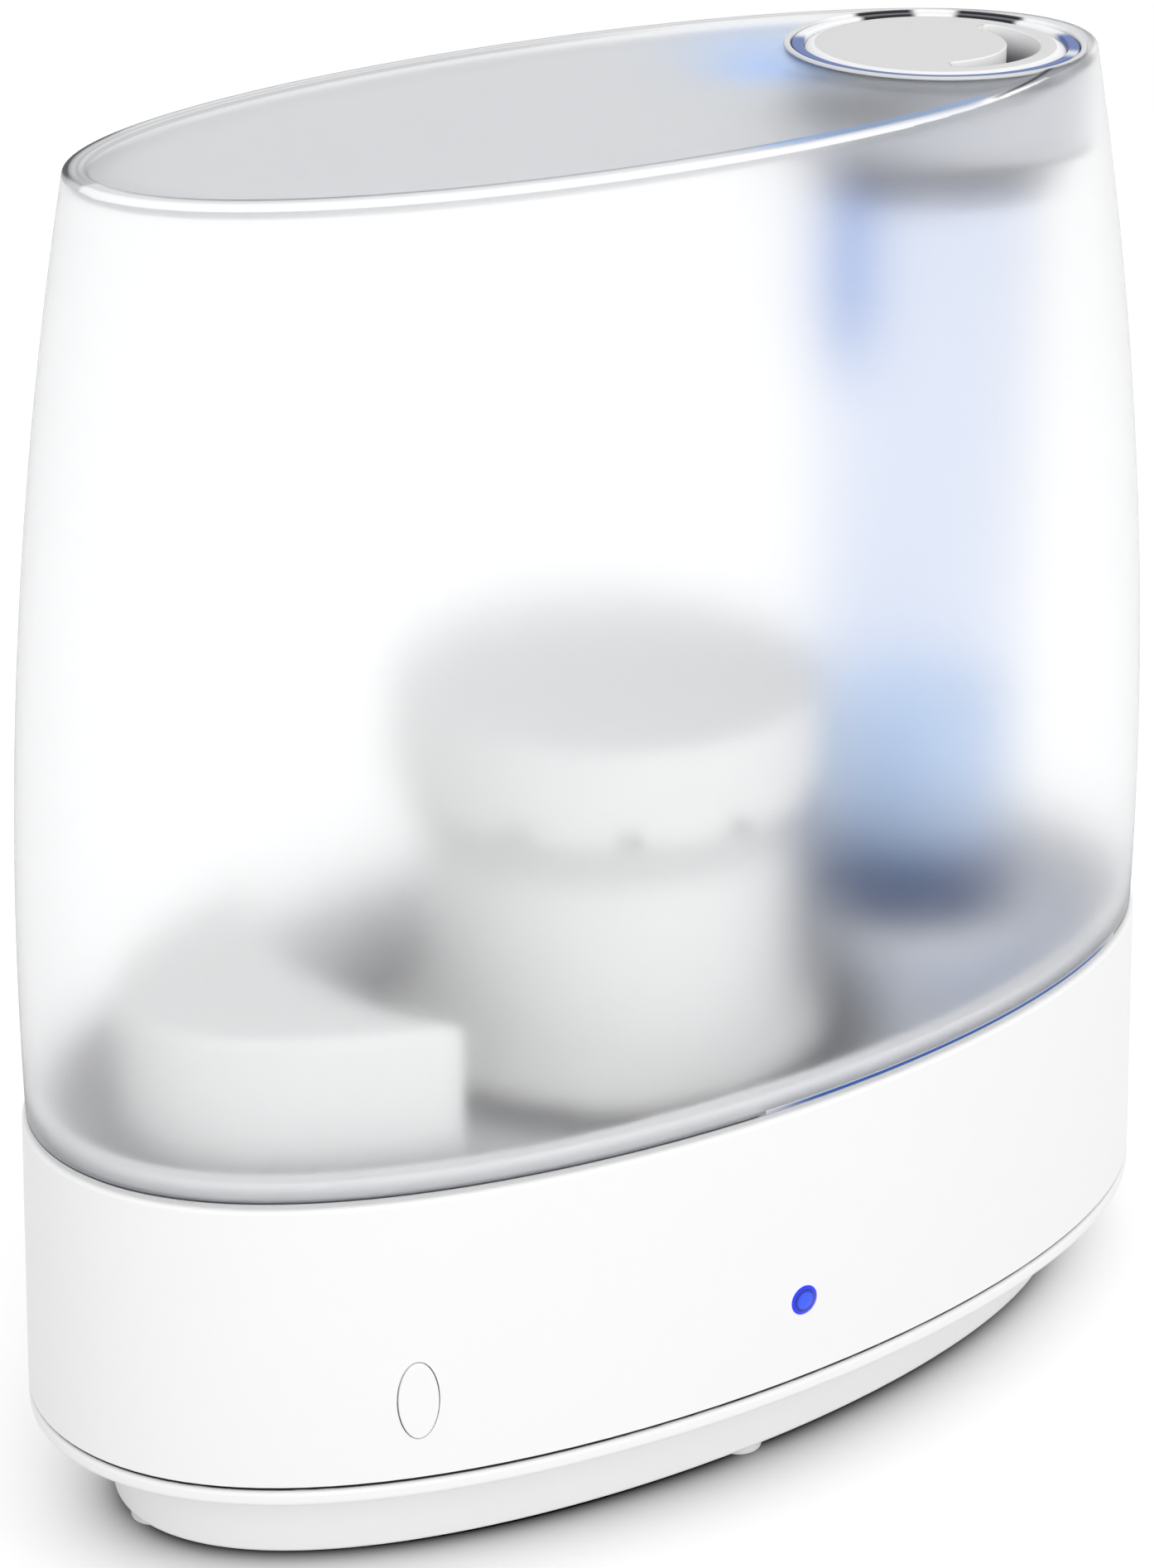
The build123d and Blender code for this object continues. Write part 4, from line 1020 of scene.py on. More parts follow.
@dataclass
class Body:
    """Sizes of the whole body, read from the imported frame."""

    rim_reach: float = 32 * MM
    oval: Oval = field(init=False)
    top: float = field(init=False)
    tank_foot: float = field(init=False)
    nozzle: Pair = field(init=False)

    def __post_init__(self) -> None:
        """Read the core ellipse, the levels and the nozzle's axis."""
        low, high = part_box("bottom_cover")
        self.oval = Oval((high.x - low.x) / 2 - self.rim_reach, (high.y - low.y) / 2 - self.rim_reach)
        low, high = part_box("tank_shell")
        self.tank_foot, self.top = low.z, high.z
        low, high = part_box("outlet_well")
        self.nozzle = ((low.x + high.x) / 2, (low.y + high.y) / 2)


@dataclass(frozen=True)
class Streak:
    """A line of painted light, or of painted shade where its level is below 0, that runs along the tank's
    lip.

    Turns are in degrees of the oval's parameter. The line lies at a distance inwards from the
    lip's outer edge, which changes evenly between its two ends.
    """

    start: float
    end: float
    inward: Pair
    width: float
    level: float
    soft: float = 7.0

    def at(self, inward: np.ndarray, turn: np.ndarray) -> np.ndarray:
        """Painted light and shade of the streak.

        It is the level times a bell curve of the distance from the line over its width,
        times a bell curve of how far the turn lies outside the streak over its softness.

        Args:
            inward: distances from the lip's outer edge, a line of the grid each.
            turn: turns in degrees, a column of the grid each.

        Returns:
            The painted light and shade at each point of the grid.
        """
        middle, half = (self.start + self.end) / 2, (self.end - self.start) / 2
        along = (turn - middle + 180) % 360 - 180
        line_in = np.interp(along, (-half, half), self.inward)
        outside = np.maximum(np.abs(along) - half, 0)
        across = (inward[:, None] - line_in) / self.width
        return self.level * np.exp(-(across**2)) * np.exp(-((outside / self.soft) ** 2))


@dataclass(frozen=True)
class Patch:
    """A soft round patch of painted light, or of painted shade where its level is below 0, on the tank's top
    panel.
    """

    centre: Pair
    size: float
    level: float

    def at(self, points: np.ndarray) -> np.ndarray:
        """Painted light and shade of the patch: its level times a bell curve of the plan distance over its
        size.
        """
        across = np.hypot(points[..., 0] - self.centre[0], points[..., 1] - self.centre[1])
        return self.level * np.exp(-((across / self.size) ** 2))


@dataclass
class Tank:
    """Frosted tank: wall, polished lip and foot, top panel, and the clear pieces inside it."""

    body: Body
    foot_reach: float = 29 * MM
    top_reach: float = 10.5 * MM
    side_radius: float = 1026 * MM
    wall: float = 2.5 * MM
    panel: float = 3.0 * MM
    recess: float = 0.7 * MM
    lip: float = 4.5 * MM
    edge: float = 1.2 * MM
    foot_edge: float = 0.5 * MM
    corner: float = 2.5 * MM
    # The foot's lowest band takes the panel's grey painted shade, and a painted dark line of shade runs along
    # its bottom, thinner under the painted blue light.
    foot_band: float = 1.6 * MM
    foot_blue: float = 1.0 * MM
    foot_line: float = 0.55 * MM
    foot_hair: float = 0.2 * MM
    bottom_rows: int = 6
    low_steps: tuple[float, ...] = (0.0, 0.4 * MM, 0.8 * MM, 1.4 * MM, 2.2 * MM)
    side_start: float = 4 * MM
    side_rows: int = 92
    inner_rows: int = 80
    panel_rows: int = 30
    panel_bias: float = 1.6
    bend_rows: int = 4
    lip_steps: tuple[float, ...] = (0.12 * MM, 0.5 * MM, 0.7 * MM)
    step_share: float = 0.35
    well_gap: float = -0.15 * MM
    hole_margin: float = 0.2 * MM
    # white_lip: the lip's edge stays white, and inward of it the panel's grey painted shade begins.
    white_lip: Pair = (0.8 * MM, 1.2 * MM)
    solid_lip: float = 1.3 * MM
    lip_drop: tuple[tuple[float, ...], tuple[float, ...]] = (
        (-180.0, -165.0, -115.0, -62.0, -40.0),
        (0.9 * MM, 2.6 * MM, 2.6 * MM, 0.9 * MM, -0.2 * MM),
    )
    # lip_shade: painted shade on the lip's flat.
    lip_shade: float = -0.3
    lip_past: float = 0.7 * MM
    lip_soft: float = 0.3 * MM
    # white_turn: round the front left the lip's flat stays white, without painted shade.
    white_turn: Pair = (-182.0, -102.0)
    white_soft: float = 10.0
    white_past: float = 0.3 * MM
    # rim_shade: painted shade on the panel's outer zone towards the back and the left end.
    rim_shade: float = -0.22
    rim_width: float = 8 * MM
    rim_turn: Pair = (95.0, 205.0)
    rim_soft: float = 25.0
    # foot_glow: painted blue light on the foot at the front right.
    foot_glow: Pair = (-86.0, -42.0)
    foot_soft: float = 8.0
    blue_from: float = 0.3
    # Patches: painted blue light beside the well, and a painted shadow in front of it.
    patches: tuple[Patch, ...] = (
        Patch((45 * MM, 2 * MM), 17 * MM, 0.4),
        Patch((62 * MM, 26 * MM), 26 * MM, 0.4),
        Patch((42 * MM, -33 * MM), 21 * MM, -0.34),
    )
    # Streaks: dark painted reflections and painted shade along the lip's back and ends, and painted blue
    # light at the front right.
    streaks: tuple[Streak, ...] = (
        Streak(24, 166, (0.8 * MM, 0.8 * MM), 0.45 * MM, -0.75),
        Streak(20, 170, (3.2 * MM, 3.2 * MM), 0.4 * MM, -0.25),
        Streak(150, 172, (0.6 * MM, 0.6 * MM), 1.4 * MM, -0.6),
        Streak(-12, 16, (0.5 * MM, 0.5 * MM), 1.3 * MM, -0.5),
        Streak(-56, -40, (0.8 * MM, 4.2 * MM), 0.5 * MM, -0.8, 2.0),
        Streak(-85, -62, (3.4 * MM, 3.0 * MM), 2.2 * MM, 1.3),
    )
    # strip_turn to strip_fade: painted blue light up the chimney's left side.
    strip_turn: float = 172.0
    strip_spread: float = 29.0
    strip_foot: float = 222 * MM
    strip_fade: float = 30 * MM
    tube_wall: float = 2.0 * MM
    well_wall: float = 1.5 * MM
    well_depth: float = 21 * MM
    well_floor: float = 2 * MM
    well_edge: float = 0.5 * MM
    boss_wall: float = 3.0 * MM
    bore_gap: float = 0.2 * MM
    rim_depth: float = 0.9 * MM
    rim_depth_inside: float = 3.0 * MM
    inside_margin: float = 0.1 * MM
    well_grey: Pair = (112.0, 340.0)
    grey_soft: float = 12.0
    columns: int = 320

    def reach(self, height: np.ndarray) -> np.ndarray:
        """Reach of the outer wall: a large arc through its foot and its top.

        Args:
            height: heights up the wall.

        Returns:
            The wall's reach at each height.
        """
        rise, run = self.body.top - self.body.tank_foot, self.top_reach - self.foot_reach
        chord = math.hypot(rise, run)
        root = math.sqrt(self.side_radius**2 - chord**2 / 4)
        centre_reach = (self.foot_reach + self.top_reach) / 2 - root * rise / chord
        centre_height = (self.body.tank_foot + self.body.top) / 2 + root * run / chord
        return centre_reach + np.sqrt(self.side_radius**2 - (height - centre_height) ** 2)

    def _profile(self) -> tuple[np.ndarray, np.ndarray]:
        """Wall section from the inner foot, up the outside, over the lip to the panel's rim.

        Returns:
            The (reach, height) points of the outside, and those of the inside going down.
        """
        foot, top = self.body.tank_foot, self.body.top
        heel, toe = self.foot_reach - self.wall + self.foot_edge, self.foot_reach - self.foot_edge
        bottom = np.linspace((heel, foot), (toe, foot), self.bottom_rows)
        turn_up = arc((toe, foot + self.foot_edge), self.foot_edge, -90, 0, 6)
        low = foot + self.foot_edge + np.array(self.low_steps)
        heights = np.concatenate([low, np.linspace(foot + self.side_start, top - self.edge, self.side_rows)])
        side = np.stack([self.reach(heights), heights], axis=-1)
        lip_out = self.reach(np.array(top - self.edge))
        over = arc((lip_out - self.edge, top - self.edge), self.edge, 0, 90, 12)
        flat = np.linspace((lip_out - self.edge, top), (self.top_reach - self.lip, top), 8)
        outside = np.concatenate([bottom, turn_up[1:], side[1:], over[1:], flat[1:]])
        bend_top = top - self.panel - self.corner
        inner_top = self.reach(np.array(bend_top)) - self.wall
        bend = arc((inner_top - self.corner, bend_top), self.corner, 90, 0, 10)
        heights = np.linspace(bend_top, foot + self.foot_edge, self.inner_rows)
        inner = np.stack([self.reach(heights) - self.wall, heights], axis=-1)
        turn_in = arc((heel, foot + self.foot_edge), self.foot_edge, 180, 270, 6)
        return outside, np.concatenate([bend, inner[1:], turn_in[1:-1]])

    def shell(self) -> bpy.types.Object:
        """Wall, lip and top panel as one closed skin around the well's hole.

        The skin is a grid that closes in both directions. A column runs up the outside at one
        turn t of the oval, over the lip, along a straight line on the panel from the lip to
        the hole's edge, back under the panel and down the inside.

        Returns:
            The new object, with its attributes of tone and of painted light and shade.
        """
        turn = np.linspace(0, 2 * np.pi, self.columns, endpoint=False)
        outside, inside = self._profile()
        wall_out = self.body.oval.at(outside[:, :1] + 0 * turn, outside[:, 1:], turn[None, :])
        wall_in = self.body.oval.at(inside[:, :1] + 0 * turn, inside[:, 1:], turn[None, :])
        low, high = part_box("outlet_well")
        hole = (high.x - low.x) / 2 + self.well_gap
        wall_out, wall_in = self._clear_of(wall_out, hole), self._clear_of(wall_in, hole)
        level = self.body.top - self.recess
        steps = np.array(self.lip_steps)
        step = self._toward_hole(wall_out[-1], hole, steps)
        step[1, :, 2] = level + self.step_share * self.recess
        step[2, :, 2] = level
        panel = self._spread(step[2], hole, level, self.panel_bias)
        under = self._spread(wall_in[0], hole, self.body.top - self.panel)[::-1]
        grid = np.concatenate([wall_out, step, panel[1:], under[:-1], wall_in])
        piece = mesh_piece("tank_skin", grid.reshape(-1, 3), grid_faces(len(grid), self.columns, True, True))
        edge = self.reach(np.array(self.body.top - self.edge)) - outside[:, 0]
        on_lip = np.where(outside[:, 1] > self.body.top - self.edge, edge, -self.lip)
        far = np.full(len(panel) + len(under) - 2, 2 * self.lip)
        bend = np.where(np.arange(len(wall_in)) < self.bend_rows, 2 * self.lip, -self.lip)
        inward = np.concatenate([on_lip, edge[-1] + steps, far, bend])
        self._finish_map(piece, grid, inward, np.degrees(turn), len(outside))
        return piece

    def _clear_of(self, points: np.ndarray, hole: float) -> np.ndarray:
        """Points with those inside the well's hole moved straight out, to just outside its edge.

        Args:
            points: points of the wall.
            hole: the hole's radius.

        Returns:
            The points, each at least a little further from the hole's middle than its edge.
        """
        centre = np.array(self.body.nozzle)
        away = points[..., :2] - centre
        distance = np.linalg.norm(away, axis=-1, keepdims=True)
        plan = centre + away * np.maximum((hole + self.hole_margin) / distance, 1)
        return np.concatenate([plan, points[..., 2:]], axis=-1)

    def _toward_hole(self, edge: np.ndarray, hole: float, steps: np.ndarray) -> np.ndarray:
        """Lines of points at small distances from an edge towards the well's hole.

        Args:
            edge: points of the edge.
            hole: the hole's radius.
            steps: distances from the edge.

        Returns:
            A line of points for each distance, no nearer to the hole than half the way.
        """
        target = self._hole_edge(edge, hole)
        way = target - edge
        length = np.linalg.norm(way[:, :2], axis=1, keepdims=True)
        share = np.minimum(steps[:, None, None] / length[None], 0.5 * steps[:, None, None] / steps.max())
        return edge[None] + way[None] * share

    def _hole_edge(self, edge: np.ndarray, hole: float) -> np.ndarray:
        """For each point of an edge, the point of the well's hole on the line to the hole's middle.

        Args:
            edge: points of the edge.
            hole: the hole's radius.

        Returns:
            The hole's points, at the edge's heights.
        """
        centre = np.array(self.body.nozzle)
        away = edge[:, :2] - centre
        away = away / np.linalg.norm(away, axis=1, keepdims=True)
        return np.concatenate([centre + hole * away, edge[:, 2:]], axis=1)

    def _spread(self, edge: np.ndarray, hole: float, level: float, bias: float = 1.0) -> np.ndarray:
        """A flat panel between an edge and the well's hole, as straight lines of points.

        Args:
            edge: points of the outer edge.
            hole: the hole's radius.
            level: the panel's height.
            bias: power of the spacing. Above 1 the points crowd towards the edge.

        Returns:
            A grid of points from the edge to the hole.
        """
        target = self._hole_edge(edge, hole)
        share = np.linspace(0, 1, self.panel_rows)[:, None, None] ** bias
        grid = edge[None] + (target - edge)[None] * share
        grid[..., 2] = level
        return grid

    def _finish_map(
        self, piece: bpy.types.Object, grid: np.ndarray, inward: np.ndarray, turn: np.ndarray, outer_rows: int
    ) -> None:
        """Store the skin's tone and its painted light and shade, and give its lip and the part of its foot
        with painted blue light the rim's finish.

        Args:
            piece: the skin.
            grid: its points, by line and column.
            inward: distance of each line from the lip's outer edge, negative on the walls.
            turn: turn of each column in degrees.
            outer_rows: how many lines the outside has.
        """
        rise = grid[..., 2] - self.body.tank_foot
        row = np.arange(len(grid))[:, None]
        front = (turn + 180) % 360 - 180
        in_foot = rise < self.foot_band
        outer = (row >= self.bottom_rows) & (row < outer_rows)
        on_panel = (inward > self.lip)[:, None]
        # Tone 1 gives the panel's grey painted shade, also on the foot's lowest band; the lip's edge, and its
        # flat round the front left, stay white.
        white = bump_between(front, *self.white_turn, self.white_soft)
        white = white * (inward < self.lip + self.white_past)[:, None]
        tone = np.clip((inward - self.white_lip[0]) / (self.white_lip[1] - self.white_lip[0]), 0, 1)
        store(piece, "tone", np.maximum(tone[:, None] * (1 - white), in_foot))
        lip_end = self.lip + self.lip_past
        # Painted shade on the lip's flat and the streaks' painted light and shade, and on the panel the
        # patches and the painted shade of its outer zone.
        lip_painted_shade = self.lip_shade * bump_between(inward, self.solid_lip, lip_end, self.lip_soft)
        painted_light = lip_painted_shade[:, None] * (1 - white) + sum(streak.at(inward, turn) for streak in self.streaks)
        from_lip = np.linalg.norm(grid[..., :2] - grid[outer_rows - 1, :, :2], axis=-1)
        rim = np.exp(-((from_lip / self.rim_width) ** 2)) * bump_between(turn, *self.rim_turn, self.rim_soft)
        painted_light = painted_light + (sum(patch.at(grid) for patch in self.patches) + self.rim_shade * rim) * on_panel
        # Painted blue light on the foot at the front right, and elsewhere a painted dark line of shade along
        # its bottom.
        blue = bump_between(front, *self.foot_glow, self.foot_soft) * (rise < self.foot_blue)
        dark_foot = rise < np.where(blue < self.blue_from, self.foot_line, self.foot_hair)
        foot_painted_light_and_shade = np.where(dark_foot, -1.0, blue)
        store(piece, "painted_light", painted_light + foot_painted_light_and_shade * outer)
        drop = self.body.top - grid[..., 2]
        solid_lip = outer & (inward < self.solid_lip)[:, None] & (drop < np.interp(front, *self.lip_drop))
        solid_foot = outer & (blue > self.blue_from)
        piece.data.polygons.foreach_set("material_index", (solid_lip | solid_foot).astype(np.int32).ravel())

    def chimney(self) -> bpy.types.Object:
        """Clear tube from the tank's floor to the well, with painted blue light up its left side.

        Returns:
            The new object, with its attribute of painted light.
        """
        low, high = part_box("mist_chimney")
        outer = (high.x - low.x) / 2
        inner = outer - self.tube_wall
        corners = [(outer, low.z), (outer, high.z), (inner, high.z), (inner, low.z), (outer, low.z)]
        profile = closed_profile(runs(corners, (60, 4, 60, 4)))
        piece = turned_ring("chimney_tube", profile, self.body.nozzle, TUBE_COLUMNS)
        points = turned_points(profile, self.body.nozzle, TUBE_COLUMNS)
        x, y, z = points[..., 0] - self.body.nozzle[0], points[..., 1], points[..., 2]
        turn = np.degrees(np.arctan2(y, x))
        # Painted blue light up the tube's left side, fading in above a height.
        side = np.exp(-(((turn - self.strip_turn + 180) % 360 - 180) / self.strip_spread) ** 2)
        up = np.clip((z - self.strip_foot) / self.strip_fade, 0, 1)
        store(piece, "painted_light", side * up)
        return piece

    def well(self) -> bpy.types.Object:
        """Polished cup in the tank's top that holds the nozzle, with the boss for the chimney.

        Returns:
            The new object, with its attributes of dark painted reflections and of tone.
        """
        low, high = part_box("outlet_well")
        _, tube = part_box("mist_chimney")
        outer = (high.x - low.x) / 2
        inner = outer - self.well_wall
        bore = tube.x - self.body.nozzle[0]
        seat, boss, hole = bore + self.bore_gap, bore + self.boss_wall, bore - self.tube_wall
        floor = high.z - self.well_depth
        under = floor - self.well_floor
        edge, shoulder = self.well_edge, high.z - self.well_edge
        corners = [
            (inner, shoulder), (inner, floor), (hole, floor), (hole, under), (seat, under),
            (seat, low.z), (boss, low.z), (boss, under), (outer, under), (outer, shoulder),
        ]
        profile = closed_profile(
            arc((outer - edge, shoulder), edge, 0, 90, 6),
            arc((inner + edge, shoulder), edge, 90, 180, 6),
            runs(corners, (24, 8, 3, 3, 4, 3, 4, 4, 24)),
        )
        piece = turned_ring("well_cup", profile, self.body.nozzle, RING_COLUMNS)
        turn = np.linspace(0, 360, RING_COLUMNS, endpoint=False)
        depth, near = high.z - profile[:, 1], profile[:, 0] < inner + self.inside_margin
        rim = (depth < self.rim_depth) | ((depth < self.rim_depth_inside) & near)
        # Dark painted reflections on the rim at the back.
        store(piece, "painted_light", -np.outer(rim, bumps(turn, BACK_SHADES, BACK_SOFT)))
        store(piece, "tone", np.outer(rim, bump_between(turn, *self.well_grey, self.grey_soft)))
        solid = np.outer(rim, np.ones(RING_COLUMNS)).astype(np.int32)
        piece.data.polygons.foreach_set("material_index", solid.ravel())
        return piece

    def build(self, materials: dict[str, bpy.types.Material]) -> None:
        """Build and dress the tank's pieces.

        Args:
            materials: the finishes by name.
        """
        skin = self.shell()
        dress(skin, materials["frosted"], "tank", Slot.TANK, "tank_shell")
        skin.data.materials.append(materials["rim"])
        dress(self.chimney(), materials["chimney"], "tank", Slot.CLEAR, "mist_chimney")
        well = self.well()
        dress(well, materials["well"], "tank", Slot.CLEAR, "outlet_well")
        well.data.materials.append(materials["rim"])


@dataclass
class Nozzle:
    """Turning outlet: a plate with a crescent opening beside an off-centre disc, and the sleeve round it."""

    body: Body
    toward: float = -49.5
    half_span: float = 71.5
    outer: float = 23.7 * MM
    disc: float = 20.0 * MM
    offset: float = 4.0 * MM
    bevel_width: float = 2.4 * MM
    bevel_height: float = 1.1 * MM
    plate: float = 3.0 * MM
    chute: float = 9.0 * MM
    chute_radius: float = 24.4 * MM
    skirt: float = 2.5 * MM
    tip: float = 2.6 * MM
    tip_close: float = 0.94
    least_half: float = 0.1 * MM
    disc_shares: tuple[float, ...] = (0.2, 0.5, 0.8, 0.93, 1.0)
    plate_shares: tuple[float, ...] = (0.0, 0.4, 1.0)
    rounding: float = 0.55 * MM
    columns: int = 360
    sleeve_radii: Pair = (29.85 * MM, 32.4 * MM)
    sleeve_drop: float = 0.1 * MM
    sleeve_seat: float = 1.7 * MM
    sleeve_edge: float = 0.4 * MM
    # Painted blue light on the sleeve's top round the front and left, down to a small depth.
    sleeve_glows: tuple[Pair, ...] = ((138.0, 296.0), (318.0, 336.0))
    sleeve_painted_depth: float = 2.0 * MM
    glow_soft: float = 8.0

    def _edges(self, turn: np.ndarray) -> tuple[np.ndarray, np.ndarray]:
        """Inner and outer edge of the opening, as radii at each turn from its middle.

        The inner edge is a disc of radius d whose centre lies e behind the axis, so
        r = -e cos t + sqrt(d^2 - e^2 sin^2 t). The outer edge is a circle. Over the last
        stretch before each tip the gap between them closes as a quarter ellipse.

        Args:
            turn: turns from the opening's middle, in radians.

        Returns:
            The inner radii and the outer radii.
        """
        inner = -self.offset * np.cos(turn) + np.sqrt(self.disc**2 - (self.offset * np.sin(turn)) ** 2)
        middle, half = (inner + self.outer) / 2, np.maximum((self.outer - inner) / 2, self.least_half)
        span = math.radians(self.half_span)
        past = np.clip((np.abs(turn) - span) * self.outer / self.tip + 1, 0, 1)
        half = half * np.sqrt(1 - self.tip_close * past**2)
        return middle - half, middle + half

    def cap(self) -> bpy.types.Object:
        """Cap as one closed skin of rings, from the top's middle round the skirt to the underside's.

        Each ring is a radius at every turn with a height. Between the rings of the opening's
        two edges the faces are left out where it is open, above and below, and walls join the
        upper edges to the lower ones.

        Returns:
            The new object.
        """
        low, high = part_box("nozzle_cap")
        radius, top = (high.x - low.x) / 2, high.z
        turn = np.linspace(-np.pi, np.pi, self.columns, endpoint=False)
        opened = np.abs(turn) < math.radians(self.half_span)
        inner, outer = self._edges(turn)
        flat, ones = radius - self.bevel_width, np.ones_like(turn)
        side = top - self.bevel_height
        floor = top - self.chute
        over = [(share * inner, top) for share in self.disc_shares]
        over += [(outer + share * (flat - outer), top) for share in self.plate_shares]
        bevel, skirt, plate = radius - 0.5 * self.bevel_width, radius - self.skirt, top - self.plate
        over += [(ones * bevel, top - 0.5 * self.bevel_height), (ones * radius, side)]
        over += [(ones * radius, (side + low.z) / 2), (ones * radius, low.z), (ones * skirt, low.z)]
        over += [(ones * skirt, plate), (ones * self.chute_radius, plate)]
        under = [(ones * self.chute_radius, floor), (outer, floor)]
        under += [(share * inner, floor) for share in self.disc_shares[::-1]]
        disc_rows = len(self.disc_shares)
        edge_rows = (disc_rows - 1, disc_rows, len(over) + 1, len(over) + 2)
        return self._skin(over + under, turn, opened, edge_rows)

    def _skin(self, rings: list, turn: np.ndarray, opened: np.ndarray, edges: tuple) -> bpy.types.Object:
        """Join the rings into one closed skin with the opening in it.

        Args:
            rings: (radii, height) of each ring, in order.
            turn: turn of each column from the opening's middle.
            opened: which columns lie in the opening.
            edges: the rings of the upper inner, upper outer, lower outer and lower inner edge.

        Returns:
            The new object.
        """
        angle = turn + math.radians(self.toward)
        out = np.array([radii for radii, _ in rings])
        up = np.array([height for _, height in rings])[:, None] + 0 * out
        x, y = self.body.nozzle[0] + out * np.cos(angle), self.body.nozzle[1] + out * np.sin(angle)
        count, rows = len(turn), len(rings)
        number, here = np.arange(rows * count).reshape(rows, count), np.arange(count)
        after = (here + 1) % count
        wall = opened & opened[after]
        every = np.ones(count, bool)
        strips = [(row, row + 1, ~wall if row in (edges[0], edges[2]) else every) for row in range(rows - 1)]
        strips += [(edges[0], edges[3], wall), (edges[2], edges[1], wall)]
        quads = [
            np.stack([number[a], number[b], number[b, after], number[a, after]], axis=-1)[which]
            for a, b, which in strips
        ]
        first, last = np.flatnonzero(wall)[0], np.flatnonzero(wall)[-1] + 1
        upper_in, upper_out, lower_out, lower_in = (row * count for row in edges)
        quads.append(np.array([
            [upper_in + first, lower_in + first, lower_out + first, upper_out + first],
            [upper_out + last, lower_out + last, lower_in + last, upper_in + last],
        ]))
        centre = np.array([[*self.body.nozzle, rings[0][1]], [*self.body.nozzle, rings[-1][1]]])
        points = np.concatenate([np.stack([x, y, up], axis=-1).reshape(-1, 3), centre])
        hub, end = rows * count, (rows - 1) * count
        fans = np.concatenate([
            np.stack([0 * here + hub, here, after], axis=-1),
            np.stack([0 * here + hub + 1, end + after, end + here], axis=-1),
        ])
        piece = mesh_piece("nozzle_top", points, np.concatenate(quads), fans)
        return soften(piece, self.rounding, rings[0][1])

    def sleeve(self) -> bpy.types.Object:
        """Polished sleeve that stands on the cup's flange around the cap.

        A closed section turned about the cap's axis. Its top has painted blue light round the front
        and left, and two dark painted reflections at the back.

        Returns:
            The new object, with its attribute of painted light and shade.
        """
        low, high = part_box("nozzle_cap")
        foot, top = low.z - self.sleeve_seat, high.z - self.sleeve_drop
        inner, outer = self.sleeve_radii
        edge = self.sleeve_edge
        profile = closed_profile(
            runs([(inner, foot), (outer, foot), (outer, top - edge)], (4, 12)),
            arc((outer - edge, top - edge), edge, 0, 90, 5),
            np.linspace((outer - edge, top), (inner + edge, top), 8),
            arc((inner + edge, top - edge), edge, 90, 180, 5),
            np.linspace((inner, top - edge), (inner, foot), 12),
        )
        piece = turned_ring("cup_sleeve", profile, self.body.nozzle, RING_COLUMNS)
        turn = np.linspace(0, 360, RING_COLUMNS, endpoint=False)
        upper = top - profile[:, 1] < self.sleeve_painted_depth
        # Painted blue light, less the dark painted reflections at the back.
        painted_light = bumps(turn, self.sleeve_glows, self.glow_soft) - bumps(turn, BACK_SHADES, BACK_SOFT)
        store(piece, "painted_light", np.outer(upper, painted_light))
        return piece

    def build(self, materials: dict[str, bpy.types.Material]) -> None:
        """Build and dress the cap and its sleeve.

        Args:
            materials: the finishes by name.
        """
        dress(self.cap(), materials["nozzle"], "nozzle", Slot.NOZZLE, "nozzle_cap")
        dress(self.sleeve(), materials["rim"], "nozzle_holder", Slot.NOZZLE)


# Dressing and stage


def dress(piece: bpy.types.Object, material: bpy.types.Material, body: str, slot: Slot, *nodes: str) -> None:
    """Give a piece its material and its body, and hide the nodes it stands for.

    Args:
        piece: the new piece.
        material: its finish.
        body: the body that it moves with.
        slot: the record's material slot. Not used.
        nodes: the nodes that it replaces.
    """
    piece.data.materials.append(material)
    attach(piece, body)
    if nodes:
        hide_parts(*nodes)
    LOG.info("%s: %d faces on %s", piece.name, len(piece.data.polygons), body)


NODE_FINISHES = {
    "base_white": "base",
    "inner_white": "inner",
    "nozzle_white": "nozzle",
    "nozzle_grey": "nozzle_cup",
    "lamp_blue": "lamp",
    "rubber": "rubber",
    "steel": "steel",
    "disc_metal": "disc",
    "circuit_green": "board",
    "switch_black": "black",
    "heat_sink_metal": "sink",
    "copper_winding": "winding",
    "float_foam": "foam",
    "magnet_iron": "magnet",
    "granules": "granules",
    "valve_plastic": "valve",
    "collar_blue": "collar",
}
OWN_FINISHES = {"tank_floor": "tank_floor"}
IN_TANK = ("tank_floor", "cartridge_body", "cartridge_head", "mist_collar", "tank_cap", "nozzle_cup")


